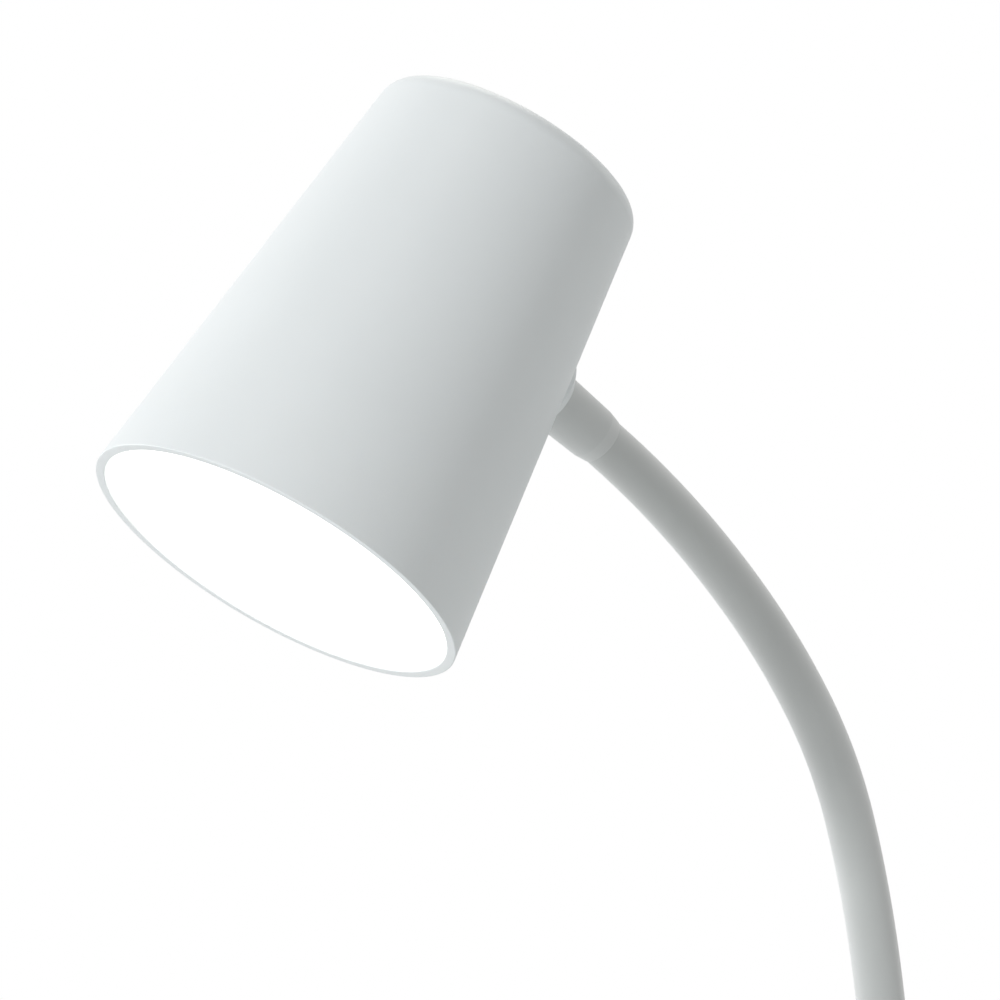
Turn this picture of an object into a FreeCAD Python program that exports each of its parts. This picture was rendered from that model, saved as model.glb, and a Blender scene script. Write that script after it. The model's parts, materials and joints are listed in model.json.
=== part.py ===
"""Gooseneck desk lamp with a conical shade, a flexible neck and a weighted round base.

The lamp stands on the XY plane with the middle of its underside at the origin.
+Z is up and the head reaches out towards -X, so the XZ plane halves the lamp.

The neck is a chain of short stiff links. Each link's upper end is a ball that
sits in the cup of the link above, and a sleeve and a supply cable run along it.
Every link is placed from the one below it, and the head from the last link.
"""
import FreeCAD
import Part

import math
import os
import re

import Sketcher

SHEET = "Dims"

# The driving sizes in millimetres, each with its alias in the sheet and what it measures.
DIMENSIONS = {
    "shade": (
        ("shade_mouth_radius", 50.3, "outer radius at the open mouth"),
        ("shade_top_radius", 35.2, "outer radius where the cone meets the closed top"),
        ("shade_length", 124.0, "from the mouth to the closed top"),
        ("shade_wall", 2.5, "thickness of the moulded shell"),
        ("shade_top_round", 5.5, "rounding of the outer top edge"),
        ("shade_inner_round", 3.0, "rounding of the inner top edge"),
        ("shade_rim_round", 0.3, "rounding of the rim"),
        ("ledge_depth", 1.3, "how far the diffuser's ledge stands in from the wall"),
        ("ledge_height", 1.5, "straight height of that ledge"),
    ),
    "boss on the side of the shade": (
        ("boss_height", 80.0, "from the mouth to the boss's axis, along the shade"),
        ("boss_proud", 4.04, "from the shade's outside to the boss's outer face"),
        ("boss_inset", 3.44, "from the shade's inside to the boss's inner face"),
        ("boss_margin", 1.8, "how far the boss is wider than the washer that it carries"),
        ("boss_flare", 2.8, "height of its tapered end"),
        ("boss_lip", 0.1, "how far the boss's face stands out past the ferrule"),
    ),
    "light source": (
        ("diffuser_recess", 10.0, "from the mouth to the diffuser"),
        ("diffuser_thickness", 2.0, "thickness of the diffuser"),
        ("diffuser_clearance", 0.1, "gap round the diffuser's edge"),
        ("sink_height", 30.0, "from the mouth to the heat sink's back, where the posts start"),
        ("sink_thickness", 2.5, "thickness of the heat sink's plate"),
        ("sink_margin", 0.8, "gap between the heat sink and the shade's wall"),
        ("sink_hole_gap", 2.25, "gap round the wires where they pass through the heat sink"),
        ("fin_height", 9.0, "height of a cooling fin"),
        ("fin_thickness", 1.5, "thickness of a cooling fin"),
        ("fin_inner_radius", 15.0, "where the fins start"),
        ("fin_inset", 2.0, "from the screw posts to the fins' outer ends"),
        ("led_board_gap", 2.8, "from the heads of the screws to the light board's edge"),
        ("led_board_thickness", 1.6, "thickness of that board"),
        ("led_chip_length", 3.5, "length of a light chip"),
        ("led_chip_width", 2.8, "width of a light chip"),
        ("led_chip_height", 0.7, "height of a light chip"),
        ("led_inner_ring", 14.0, "radius of the inner ring of chips"),
        ("led_ring_inset", 7.0, "from the light board's edge to the outer ring of chips"),
        ("post_radius", 4.6, "radius of a screw post in the shade"),
        ("post_height", 12.0, "height of a screw post"),
        ("post_inset", 3.8, "from the wall's inner face to a post's axis"),
    ),
    "neck": (
        ("base_stub", 46.0, "from the base's top to the first joint"),
        ("link_pitch", 32.0, "from one joint to the next"),
        ("head_stub", 31.4, "from the last joint to the boss's face"),
        ("bend_1", 0.5, "rest bend at the first joint, in degrees, forwards"),
        ("bend_2", 1.6, "rest bend at the second joint"),
        ("bend_3", 3.1, "rest bend at the third joint"),
        ("bend_4", 4.8, "rest bend at the fourth joint"),
        ("bend_5", 6.1, "rest bend at the fifth joint"),
        ("bend_6", 15.0, "rest bend at the sixth joint"),
        ("bend_7", 9.4, "rest bend at the seventh joint"),
        ("bend_8", 7.3, "rest bend at the eighth joint"),
        ("bend_9", 7.4, "rest bend at the ninth joint"),
        ("cup_wall", 0.95, "wall of a steel link round its cup"),
        ("ball_radius", 4.0, "radius of a link's ball"),
        ("ball_clearance", 0.25, "gap between a ball and its cup"),
        ("cup_tip_wall", 0.45, "wall of the cup at its lower edge"),
        ("cup_taper", 2.5, "height over which the link widens above that edge"),
        ("ball_stem_wall", 0.7, "wall of the stem under a ball"),
        ("ball_stem_length", 5.9, "from the ball's centre down to the link's shoulder"),
        ("ball_crown", 1.0, "how far the ball reaches past its centre"),
        ("ball_lip", 0.573, "width of the ball's flat lip round the bore's mouth"),
        ("ball_mouth_depth", 0.8, "from the ball's centre down to where the bore opens"),
        ("sleeve_wall", 0.9, "wall of the soft sleeve"),
        ("sleeve_clearance", 0.1, "gap between the steel link and the sleeve"),
        ("sleeve_setback", 1.9, "from a joint to the end of the sleeve's piece"),
        ("cable_radius", 2.0, "radius of the two-core supply cable"),
        ("cable_clearance", 0.4, "gap between the cable and a link's bore"),
        ("cable_setback", 0.7, "from a joint to the end of the cable's piece"),
    ),
    "end fittings": (
        ("ferrule_wall", 1.25, "wall of a ferrule at its seat"),
        ("ferrule_waist_wall", 0.75, "wall of a ferrule where its taper starts"),
        ("ferrule_tip_wall", 0.15, "wall of a ferrule at its tip"),
        ("ferrule_taper", 3.4, "length of that taper"),
        ("ferrule_length", 17.9, "from its seat to its tip"),
        ("ferrule_floor", 2.5, "thickness of the ferrule's floor"),
        ("ferrule_clearance", 0.05, "gap between the ferrule and the sleeve"),
        ("ferrule_tip_round", 0.06, "rounding of the ferrule's tip"),
        ("stem_wall", 2.3, "wall of the threaded stem"),
        ("stem_bore_gap", 0.7, "gap between the cable and the stem's bore"),
        ("stem_clearance", 0.1, "gap between the stem and its hole"),
        ("stem_end", 1.2, "how far the stem stands out past its nut"),
        ("end_gap", 0.2, "gap between the neck's end and the ferrule's floor"),
        ("nut_wall", 2.0, "from the stem to a nut's flats"),
        ("nut_height", 3.0, "height of a nut"),
        ("nut_clearance", 0.05, "gap between a nut and the stem"),
        ("washer_margin", 2.0, "how far a washer reaches past the nut's flats"),
        ("washer_thickness", 1.0, "thickness of a washer"),
        ("cable_tail", 1.0, "how far the cable stands out past the stem"),
    ),
    "base": (
        ("base_radius", 75.0, "outer radius of the base at its foot"),
        ("base_height", 26.0, "from the desk to the neck's seat"),
        ("base_draft", 1.0, "how much narrower the cover is at its shoulder"),
        ("base_crown", 1.0, "how much lower the shoulder is than the middle"),
        ("base_round", 8.0, "rounding of the cover's shoulder"),
        ("cover_wall", 2.5, "thickness of the cover"),
        ("cover_foot", 1.0, "gap between the desk and the cover's edge"),
        ("seat_margin", 3.0, "how far the thick middle reaches past the neck's washer"),
        ("seat_thickness", 4.0, "thickness of the cover there"),
        ("pad_thickness", 2.0, "thickness of the anti-slip pad"),
        ("pad_margin", 6.0, "from the base's outside to the pad's edge"),
        ("plate_thickness", 2.0, "thickness of the steel bottom plate"),
        ("plate_margin", 4.2, "from the base's outside to the plate's edge"),
        ("ballast_thickness", 9.0, "thickness of the cast weight"),
        ("ballast_margin", 9.0, "from the base's outside to the weight's edge"),
        ("ballast_hole", 10.0, "radius of the hole in the weight's middle"),
        ("notch_gap", 4.0, "from a board's near edge to its notch in the weight"),
        ("notch_side", 1.5, "gap beside a board in its notch"),
        ("channel_gap", 0.9, "gap beside the switch wires in their channel"),
        ("cover_screw_inset", 19.0, "from the base's outside to the circle of cover screws"),
        ("cover_post_radius", 4.2, "radius of a cover post"),
    ),
    "boards and switch": (
        ("board_lift", 2.5, "from the bottom plate to a board's underside"),
        ("board_thickness", 1.6, "thickness of a board"),
        ("board_post_radius", 2.7, "radius of a board post"),
        ("board_edge", 3.0, "from a board post's axis to the board's side edge"),
        ("board_post_gap", 1.6, "gap between the button's flange and the posts beside it"),
        ("driver_inset", 9.0, "from the base's outside to the driver board's far edge"),
        ("driver_length", 42.0, "length of the driver board"),
        ("driver_post_inset", 9.0, "from the driver board's near edge to its posts"),
        ("button_inset", 30.0, "from the base's outside to the button's axis"),
        ("switch_board_half_length", 10.0, "half length of the switch board"),
        ("switch_side", 10.0, "side of the switch's square body"),
        ("switch_height", 8.0, "height of that body"),
        ("switch_skin", 1.5, "floor thickness of that body"),
        ("switch_roof", 1.0, "roof thickness of that body"),
        ("cavity_gap", 0.4, "gap round the plunger's flange in that body"),
        ("plunger_radius", 1.8, "radius of the plunger"),
        ("plunger_flange_radius", 3.0, "radius of the plunger's flange"),
        ("plunger_flange_height", 1.2, "height of that flange"),
        ("plunger_pin_radius", 1.0, "radius of the pin inside the spring"),
        ("plunger_pin_length", 1.7, "length of that pin"),
        ("plunger_clearance", 0.15, "gap round the plunger"),
        ("spring_clearance", 1.0, "gap between that pin and the return spring"),
        ("spring_wire", 0.2, "radius of its wire"),
        ("spring_turns", 3.0, "number of its turns"),
        ("spring_gap", 0.1, "gap at each end of the spring"),
        ("button_radius", 7.1, "radius of the button"),
        ("button_clearance", 0.2, "gap round the button"),
        ("button_proud", 2.5, "how far the button stands out of the cover"),
        ("button_travel", 2.0, "how far the button goes down"),
        ("button_hold", 1.0, "how far the flange that holds the button reaches under the guide"),
        ("button_flange_height", 1.2, "height of that flange"),
        ("button_round", 0.8, "rounding of the button's top edge"),
        ("guide_wall", 1.6, "thickness of the button's guide under the cover"),
        ("guide_gap", 0.3, "gap between the flange and the guide"),
        ("socket_depth", 3.5, "depth of the plunger's socket in the button"),
    ),
    "parts on the driver board, placed from its near edge and the centre line": (
        ("coil_x", 16.0, "to the coil's near side"),
        ("coil_y", 5.5, "to the coil's lower side"),
        ("coil_length", 8.0, "length of the coil"),
        ("coil_width", 8.0, "width of the coil"),
        ("coil_height", 5.0, "height of the coil"),
        ("chip_x", 13.0, "to the driver chip's near side"),
        ("chip_y", -3.0, "to the driver chip's lower side"),
        ("chip_length", 5.0, "length of the driver chip"),
        ("chip_width", 6.0, "width of the driver chip"),
        ("chip_height", 1.6, "height of the driver chip"),
        ("bridge_x", 21.0, "to the rectifier's near side"),
        ("bridge_y", -6.5, "to the rectifier's lower side"),
        ("bridge_length", 6.5, "length of the rectifier"),
        ("bridge_width", 5.0, "width of the rectifier"),
        ("bridge_height", 2.5, "height of the rectifier"),
        ("fuse_x", 12.0, "to the fuse's near side"),
        ("fuse_y", -10.5, "to the fuse's lower side"),
        ("fuse_length", 6.0, "length of the fuse"),
        ("fuse_width", 2.6, "width of the fuse"),
        ("fuse_height", 2.6, "height of the fuse"),
        ("capacitor_x", 25.0, "to the capacitor's axis"),
        ("capacitor_y", -10.7, "to the capacitor's axis"),
        ("capacitor_radius", 4.0, "radius of the capacitor"),
        ("capacitor_height", 10.0, "height of the capacitor"),
    ),
    "power inlet": (
        ("jack_length", 14.0, "length of the inlet's housing"),
        ("jack_half_width", 4.5, "half width of that housing"),
        ("jack_height", 11.0, "height of that housing"),
        ("jack_axis", 6.5, "from the board to the inlet's axis"),
        ("jack_inset", 5.0, "from the base's outside to the housing's front"),
        ("jack_nose_radius", 4.2, "radius of the inlet's round nose"),
        ("jack_nose_length", 4.0, "length of that nose"),
        ("jack_bore", 3.15, "radius of the inlet's bore"),
        ("jack_depth", 10.0, "depth of that bore"),
        ("jack_pin_radius", 1.0, "radius of its centre pin"),
        ("jack_pin_setback", 0.8, "from the nose's face to the pin's end"),
        ("jack_hole_clearance", 0.2, "gap between the nose and the cover"),
    ),
    "screws and wires": (
        ("screw_radius", 1.45, "radius of a cover or heat sink screw"),
        ("screw_head_radius", 2.8, "radius of its head"),
        ("screw_head_height", 1.8, "height of its head"),
        ("screw_length", 10.0, "length of a heat sink screw under its head"),
        ("cover_screw_grip", 8.5, "how far a cover screw reaches into its post"),
        ("cover_screw_cone", 1.5, "height of its countersunk head"),
        ("small_screw_radius", 1.15, "radius of a board screw"),
        ("small_screw_head", 2.2, "radius of a board screw's head"),
        ("small_head_height", 1.5, "height of a board screw's head"),
        ("small_screw_length", 9.0, "length of a board screw under its head"),
        ("screw_clearance", 0.05, "gap between a screw and its hole"),
        ("pass_clearance", 0.3, "gap round a screw that passes through a plate"),
        ("wire_radius", 0.8, "radius of a single insulated wire"),
        ("wire_gap", 0.3, "gap between the two wires of a pair"),
        ("head_wire_bend", 10.0, "bend radius of the wires in the head"),
        ("base_wire_bend", 5.0, "bend radius of the wires in the base"),
        ("wire_lift", 0.1, "gap between a wire and the board under it"),
        ("wire_on_board", 6.0, "length of a wire that lies on a board"),
        ("switch_wire_y", 3.5, "from the centre line to each switch wire"),
    ),
}

# How much the shade narrows for each millimetre above its mouth.
SLOPE = "((shade_mouth_radius - shade_top_radius) / shade_length)"


def shade_outside(height):
    """The shade's outer radius at a height above its mouth."""
    return f"(shade_mouth_radius - {SLOPE} * ({height}))"


def shade_inside(height):
    """The shade's inner radius at a height above its mouth."""
    return f"({shade_outside(height)} - shade_wall * sqrt(1 + {SLOPE}^2))"


# Sizes that follow from the driving ones. They are written out in full wherever one is used.
FOLLOWING = {
    "boss_reach": f"{shade_outside('boss_height')} + boss_proud",
    "boss_seat": f"{shade_inside('boss_height')} - boss_inset",
    "boss_radius": "washer_radius + boss_margin",
    "sink_post_circle": f"{shade_inside('sink_height')} - post_inset",
    "sink_hole_radius": "wire_spacing + wire_radius + sink_hole_gap",
    "fin_outer_radius": "sink_post_circle - post_radius - fin_inset",
    "led_board_radius": "sink_post_circle - screw_head_radius - led_board_gap",
    "led_outer_ring": "led_board_radius - led_ring_inset",
    "cup_radius": "ball_radius + ball_clearance",
    "core_radius": "cup_radius + cup_wall",
    "core_bore": "cable_radius + cable_clearance",
    "ball_stem_radius": "core_bore + ball_stem_wall",
    "ball_mouth_radius": "sqrt(ball_radius^2 - ball_crown^2) - ball_lip",
    "sleeve_bore": "core_radius + sleeve_clearance",
    "sleeve_radius": "sleeve_bore + sleeve_wall",
    "ferrule_bore": "sleeve_radius + ferrule_clearance",
    "ferrule_radius": "ferrule_bore + ferrule_wall",
    "ferrule_waist_radius": "ferrule_bore + ferrule_waist_wall",
    "ferrule_tip_radius": "ferrule_bore + ferrule_tip_wall",
    "stem_bore": "cable_radius + stem_bore_gap",
    "stem_radius": "stem_bore + stem_wall",
    "stem_hole": "stem_radius + stem_clearance",
    "nut_half_width": "stem_radius + nut_wall",
    "washer_radius": "nut_half_width + washer_margin",
    "seat_radius": "washer_radius + seat_margin",
    "cover_screw_circle": "base_radius - cover_screw_inset",
    "cover_screw_length": "plate_thickness + ballast_thickness + cover_screw_grip",
    "driver_far": "base_radius - driver_inset",
    "driver_near": "driver_far - driver_length",
    "driver_post_x": "driver_near + driver_post_inset",
    "board_post_y": "button_flange_radius + board_post_gap + board_post_radius",
    "board_half_width": "board_post_y + board_edge",
    "notch_half_width": "board_half_width + notch_side",
    "channel_half_width": "switch_wire_y + wire_radius + channel_gap",
    "rear_notch_near": "driver_near - notch_gap",
    "front_notch_near": "button_x - switch_board_half_length - notch_gap",
    "button_x": "base_radius - button_inset",
    "button_flange_radius": "button_radius + button_clearance + button_hold",
    "switch_bore": "plunger_flange_radius + cavity_gap",
    "spring_radius": "plunger_pin_radius + spring_wire + spring_clearance",
    "jack_far": "base_radius - jack_inset",
    "wire_spacing": "wire_radius + wire_gap / 2",
}

# Counts, and the angles round the Z axis at which parts repeat, in degrees.
JOINT_COUNT = 9
SINK_SCREW_ANGLES = (60, 180, 300)
COVER_SCREW_ANGLES = (45, 135, 225, 315)
FIN_COUNT = 12
INNER_CHIPS = 8
OUTER_CHIPS = 16

# A screw's drive recess: its depth as a share of the head's height, and its radius as a
# share of the screw's.
RECESS_DEPTH = 0.45
RECESS_RADIUS = 0.9

# How near an edge's radius and height have to be to the wanted ones.
EDGE_MATCH = 0.01

ALIASES = {alias for rows in DIMENSIONS.values() for alias, _, _ in rows}

X_AXIS = FreeCAD.Vector(1, 0, 0)
Y_AXIS = FreeCAD.Vector(0, 1, 0)
Z_AXIS = FreeCAD.Vector(0, 0, 1)
UPRIGHT = FreeCAD.Rotation()
ALONG_X = FreeCAD.Rotation(Y_AXIS, 90)

doc = FreeCAD.newDocument("desk_lamp")
nodes = []


def fill_sheet():
    """Write every driving dimension into the sheet, one row each, with its alias."""
    sheet = doc.addObject("Spreadsheet::Sheet", SHEET)
    row = 1
    for heading, rows in DIMENSIONS.items():
        sheet.set(f"A{row}", heading)
        row += 1
        for alias, value, note in rows:
            sheet.set(f"A{row}", note)
            sheet.set(f"B{row}", str(value))
            sheet.setAlias(f"B{row}", alias)
            row += 1
    doc.recompute()
    return sheet


def bound(expression):
    """Name the sheet before each of its sizes, and write out the sizes that follow from them."""

    def written_out(word):
        name = word.group(0)
        if name in FOLLOWING:
            return f"({bound(FOLLOWING[name])})"
        return f"{SHEET}.{name}" if name in ALIASES else name

    return re.sub(r"[a-z]\w*", written_out, expression)


def size(expression):
    """The number that an expression of sizes gives."""
    value = doc.getObject(SHEET).evalExpression(bound(expression))
    return float(getattr(value, "Value", value))


def bind(obj, **properties):
    """Bind properties of an object to expressions of sizes."""
    for name, expression in properties.items():
        obj.setExpression(name, bound(expression))
    return obj


def place(obj, at=("0", "0", "0"), turn=UPRIGHT):
    """Turn an object and bind its position to three expressions."""
    obj.Placement = FreeCAD.Placement(FreeCAD.Vector(), turn)
    for axis, expression in zip("xyz", at):
        if expression != "0":
            obj.setExpression(f"Placement.Base.{axis}", bound(expression))
    return obj


def keep(obj, frame=None):
    """List an object as a finished piece, placed in a frame given as an expression."""
    if frame:
        obj.setExpression("Placement", bound(frame))
    nodes.append(obj)
    return obj


def shifted(frame, at=("0", "0", "0"), axis="0; 0; 1", angle="0"):
    """An expression for a frame moved and turned within another frame."""
    offset = f"create(<<vector>>; {at[0]}; {at[1]}; {at[2]})"
    turn = f"create(<<rotation>>; create(<<vector>>; {axis}); {angle})"
    step = f"create(<<placement>>; {offset}; {turn})"
    return f"{frame} * {step}" if frame else step


def cylinder(name, radius, height, at=("0", "0", "0"), turn=UPRIGHT):
    """A round bar along its own Z."""
    obj = bind(doc.addObject("Part::Cylinder", name), Radius=radius, Height=height)
    return place(obj, at, turn)


def cone(name, low_radius, high_radius, height, at=("0", "0", "0"), turn=UPRIGHT):
    """A round taper along its own Z."""
    obj = doc.addObject("Part::Cone", name)
    bind(obj, Radius1=low_radius, Radius2=high_radius, Height=height)
    return place(obj, at, turn)


def box(name, length, width, height, at, turn=UPRIGHT):
    """A block with its lowest corner at a point."""
    obj = doc.addObject("Part::Box", name)
    bind(obj, Length=length, Width=width, Height=height)
    return place(obj, at, turn)


def fused(name, pieces):
    """One solid made of several that overlap."""
    obj = doc.addObject("Part::MultiFuse", name)
    obj.Shapes = pieces
    obj.Refine = True
    return obj


def grouped(name, pieces):
    """Separate solids that share one node."""
    obj = doc.addObject("Part::Compound", name)
    obj.Links = pieces
    return obj


def cut(name, base, tools):
    """A solid less every tool."""
    obj = doc.addObject("Part::Cut", name)
    obj.Base = base
    obj.Tool = tools[0] if len(tools) == 1 else fused(f"{name}_cutters", tools)
    obj.Refine = True
    return obj


def on_circle(radius, angle):
    """Expressions for a point on a circle round the Z axis."""
    return f"{radius} * cos({angle} deg)", f"{radius} * sin({angle} deg)"


def origin_plane(body, role):
    """One of a body's own origin planes."""
    return next(item for item in body.Origin.OriginFeatures if item.Role == role)


def arc_between(start, end, radius, side):
    """A circular arc between two points; side is 1 where its centre is on the left."""
    first, last = (start, end) if side > 0 else (end, start)
    chord = last - first
    normal = FreeCAD.Vector(-chord.y, chord.x, 0).normalize()
    rise = max(radius ** 2 - (chord.Length / 2) ** 2, 0.0) ** 0.5
    centre = (first + last) * 0.5 + normal * rise
    angles = [math.atan2(point.y - centre.y, point.x - centre.x) for point in (first, last)]
    return Part.ArcOfCircle(Part.Circle(centre, Z_AXIS, radius), *angles)


def turned(name, outline, rounds=()):
    """A body turned about its Z axis from an outline of (radius, height) corners.

    A corner with two more items starts an arc: its radius, and 1 where its centre is to
    the left of the way to the next corner or -1 where it is to the right.
    rounds lists (corner's radius, corner's height, rounding) for edges to be rounded.
    """
    body = doc.addObject("PartDesign::Body", name)
    sketch = body.newObject("Sketcher::SketchObject", f"{name}_outline")
    sketch.AttachmentSupport = [(origin_plane(body, "XZ_Plane"), "")]
    sketch.MapMode = "FlatFace"
    corners = [FreeCAD.Vector(size(item[0]), size(item[1]), 0) for item in outline]
    count = len(outline)
    edges = []
    for index, item in enumerate(outline):
        start, end = corners[index], corners[(index + 1) % count]
        if len(item) > 2:
            curve = arc_between(start, end, size(item[2]), item[3])
        else:
            curve = Part.LineSegment(start, end)
        edges.append(sketch.addGeometry(curve, False))
    ends = [(2, 1) if len(item) > 2 and item[3] < 0 else (1, 2) for item in outline]
    for index, edge in enumerate(edges):
        follower = (index + 1) % count
        joined = (edge, ends[index][1], edges[follower], ends[follower][0])
        sketch.addConstraint(Sketcher.Constraint("Coincident", *joined))
    for index, item in enumerate(outline):
        point = (edges[index], ends[index][0])
        fix(sketch, "DistanceX", (-1, 1, *point), corners[index].x, item[0])
        fix(sketch, "DistanceY", (-1, 1, *point), corners[index].y, item[1])
        if len(item) > 2:
            fix(sketch, "Radius", (edges[index],), size(item[2]), item[2])
    turn = body.newObject("PartDesign::Revolution", f"{name}_turn")
    turn.Profile = sketch
    turn.ReferenceAxis = (sketch, ["V_Axis"])
    turn.Angle = 360
    doc.recompute()
    for index, (radius, height, rounding) in enumerate(rounds):
        round_edge(body, f"{name}_round_{index}", radius, height, rounding)
    return body


def fix(sketch, kind, places, value, expression):
    """Add a measured constraint and bind it to an expression."""
    number = sketch.addConstraint(Sketcher.Constraint(kind, *places, value))
    sketch.setExpression(f"Constraints[{number}]", bound(expression))


def round_edge(body, name, radius, height, rounding):
    """Round the circular edge of a body that has this radius and height."""
    base = body.Tip
    wanted = (size(radius), size(height))
    found = []
    for number, edge in enumerate(base.Shape.Edges, 1):
        if not isinstance(edge.Curve, Part.Circle):
            continue
        at = (edge.Curve.Radius, edge.Curve.Center.z)
        if max(abs(at[0] - wanted[0]), abs(at[1] - wanted[1])) < EDGE_MATCH:
            found.append(f"Edge{number}")
    fillet = body.newObject("PartDesign::Fillet", name)
    fillet.Base = (base, found)
    bind(fillet, Radius=rounding)
    doc.recompute()


def make_shade():
    """The shell with its neck boss and three screw posts, mouth down at Z = 0."""
    ledge = "(diffuser_recess + diffuser_thickness)"
    lip = f"{shade_inside(ledge)} - ledge_depth"
    ledge_top = f"({ledge} + ledge_height + ledge_depth)"
    roof = "(shade_length - shade_wall)"
    shell = turned(
        "shade_shell",
        [
            (shade_outside("0"), "0"),
            ("shade_top_radius", "shade_length"),
            ("0", "shade_length"),
            ("0", roof),
            (shade_inside(roof), roof),
            (shade_inside(ledge_top), ledge_top),
            (lip, f"{ledge} + ledge_height"),
            (lip, ledge),
            (shade_inside(ledge), ledge),
            (shade_inside("0"), "0"),
        ],
        rounds=[
            ("shade_top_radius", "shade_length", "shade_top_round"),
            (shade_inside(roof), roof, "shade_inner_round"),
            (shade_outside("0"), "0", "shade_rim_round"),
            (shade_inside("0"), "0", "shade_rim_round"),
        ],
    )
    pieces = [
        shell,
        cylinder(
            "boss_body", "boss_radius", "boss_reach - boss_flare - boss_seat",
            at=("boss_seat", "0", "boss_height"), turn=ALONG_X,
        ),
        cone(
            "boss_taper", "boss_radius", "ferrule_radius + boss_lip", "boss_flare",
            at=("boss_reach - boss_flare", "0", "boss_height"), turn=ALONG_X,
        ),
    ]
    holes = [
        cylinder(
            "boss_hole", "stem_hole", "boss_reach",
            at=("boss_seat / 2", "0", "boss_height"), turn=ALONG_X,
        )
    ]
    for angle in SINK_SCREW_ANGLES:
        across = on_circle("sink_post_circle", angle)
        pieces.append(
            cylinder(f"post_{angle}", "post_radius", "post_height", at=(*across, "sink_height"))
        )
        holes.append(
            cylinder(
                f"post_hole_{angle}", "screw_radius + screw_clearance", "screw_length",
                at=(*across, "sink_height"),
            )
        )
    shade = cut("shade", fused("shade_moulding", pieces), holes)
    return keep(
        shade,
        shifted(
            f"neck_core_{JOINT_COUNT}.Placement",
            at=("-boss_height", "0", "head_stub + boss_reach"), axis="0; 1; 0", angle="90",
        ),
    )


SHADE_FRAME = "shade.Placement"
SINK_FRONT = "(sink_height - sink_thickness)"
LED_BOARD_FRONT = f"({SINK_FRONT} - led_board_thickness)"


def make_diffuser():
    """The opal disc in the shade's mouth."""
    top = "diffuser_recess + diffuser_thickness"
    diffuser = turned(
        "diffuser",
        [
            ("0", "diffuser_recess"),
            (f"{shade_inside('diffuser_recess')} - diffuser_clearance", "diffuser_recess"),
            (f"{shade_inside(top)} - diffuser_clearance", top),
            ("0", top),
        ],
    )
    keep(diffuser, SHADE_FRAME)


def make_heat_sink():
    """A round plate with a ring of fins on its back, and holes for screws and wires."""
    edge = f"{shade_inside('sink_height')} - sink_margin"
    plate = cylinder("sink_plate", edge, "sink_thickness", at=("0", "0", SINK_FRONT))
    fins = []
    for number in range(FIN_COUNT):
        angle = 360 * number / FIN_COUNT + 180 / FIN_COUNT
        start = on_circle("fin_inner_radius", angle)
        side = on_circle("fin_thickness / 2", angle - 90)
        fins.append(
            box(
                f"fin_{number}", "fin_outer_radius - fin_inner_radius", "fin_thickness",
                "fin_height + sink_thickness / 2",
                at=(
                    f"{start[0]} + {side[0]}",
                    f"{start[1]} + {side[1]}",
                    "sink_height - sink_thickness / 2",
                ),
                turn=FreeCAD.Rotation(Z_AXIS, angle),
            )
        )
    holes = [
        cylinder("sink_wire_hole", "sink_hole_radius", "2 * sink_thickness",
                 at=("0", "0", "sink_height - 1.5 * sink_thickness"))
    ]
    for angle in SINK_SCREW_ANGLES:
        across = on_circle("sink_post_circle", angle)
        holes.append(
            cylinder(f"sink_hole_{angle}", "screw_radius + pass_clearance", "2 * sink_thickness",
                     at=(*across, "sink_height - 1.5 * sink_thickness"))
        )
    keep(cut("heat_sink", fused("sink_casting", [plate, *fins]), holes), SHADE_FRAME)


def make_light_board():
    """The round light board under the heat sink, and its two rings of light chips."""
    board = cylinder("led_board_disc", "led_board_radius", "led_board_thickness",
                     at=("0", "0", LED_BOARD_FRONT))
    keep(grouped("led_board", [board]), SHADE_FRAME)

    chips = []
    for ring, count in (("led_inner_ring", INNER_CHIPS), ("led_outer_ring", OUTER_CHIPS)):
        for number in range(count):
            angle = 360 * number / count
            centre = on_circle(ring, angle)
            back = on_circle("led_chip_width / 2", angle + 180)
            side = on_circle("led_chip_length / 2", angle - 90)
            chips.append(
                box(
                    f"chip_{ring}_{number}", "led_chip_width", "led_chip_length",
                    "led_chip_height",
                    at=(
                        f"{centre[0]} + {back[0]} + {side[0]}",
                        f"{centre[1]} + {back[1]} + {side[1]}",
                        f"{LED_BOARD_FRONT} - led_chip_height",
                    ),
                    turn=FreeCAD.Rotation(Z_AXIS, angle),
                )
            )
    keep(grouped("led_chips", chips), SHADE_FRAME)


def make_heat_sink_screws():
    """The three screws that hold the heat sink to the shade's posts."""
    screws = []
    for angle in SINK_SCREW_ANGLES:
        screw = pan_screw(f"sink_screw_{angle}", "screw_radius", "screw_head_radius",
                          "screw_head_height", "screw_length")
        across = on_circle("sink_post_circle", angle)
        screws.append(place(screw, at=(*across, f"{SINK_FRONT} - screw_head_height")))
    keep(grouped("heat_sink_screws", screws), SHADE_FRAME)


def pan_screw(name, radius, head_radius, head_height, length):
    """A flat-headed screw standing on its head, with a round drive recess."""
    recess = f"{radius} * {RECESS_RADIUS}"
    depth = f"{head_height} * {RECESS_DEPTH}"
    return turned(
        name,
        [
            ("0", depth),
            (recess, depth),
            (recess, "0"),
            (head_radius, "0"),
            (head_radius, head_height),
            (radius, head_height),
            (radius, f"{head_height} + {length}"),
            ("0", f"{head_height} + {length} + {radius}"),
        ],
    )


# Where the neck's steel and sleeve start and end, above the base and above the last joint.
NECK_START = "(ferrule_floor + end_gap)"
NECK_END = f"(head_stub - {NECK_START})"

# How thick the boss is between its faces, and how far a stem stands out past what it clamps.
BOSS_DEPTH = "(boss_reach - boss_seat)"
CLAMPED = "washer_thickness + nut_height + stem_end"


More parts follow.
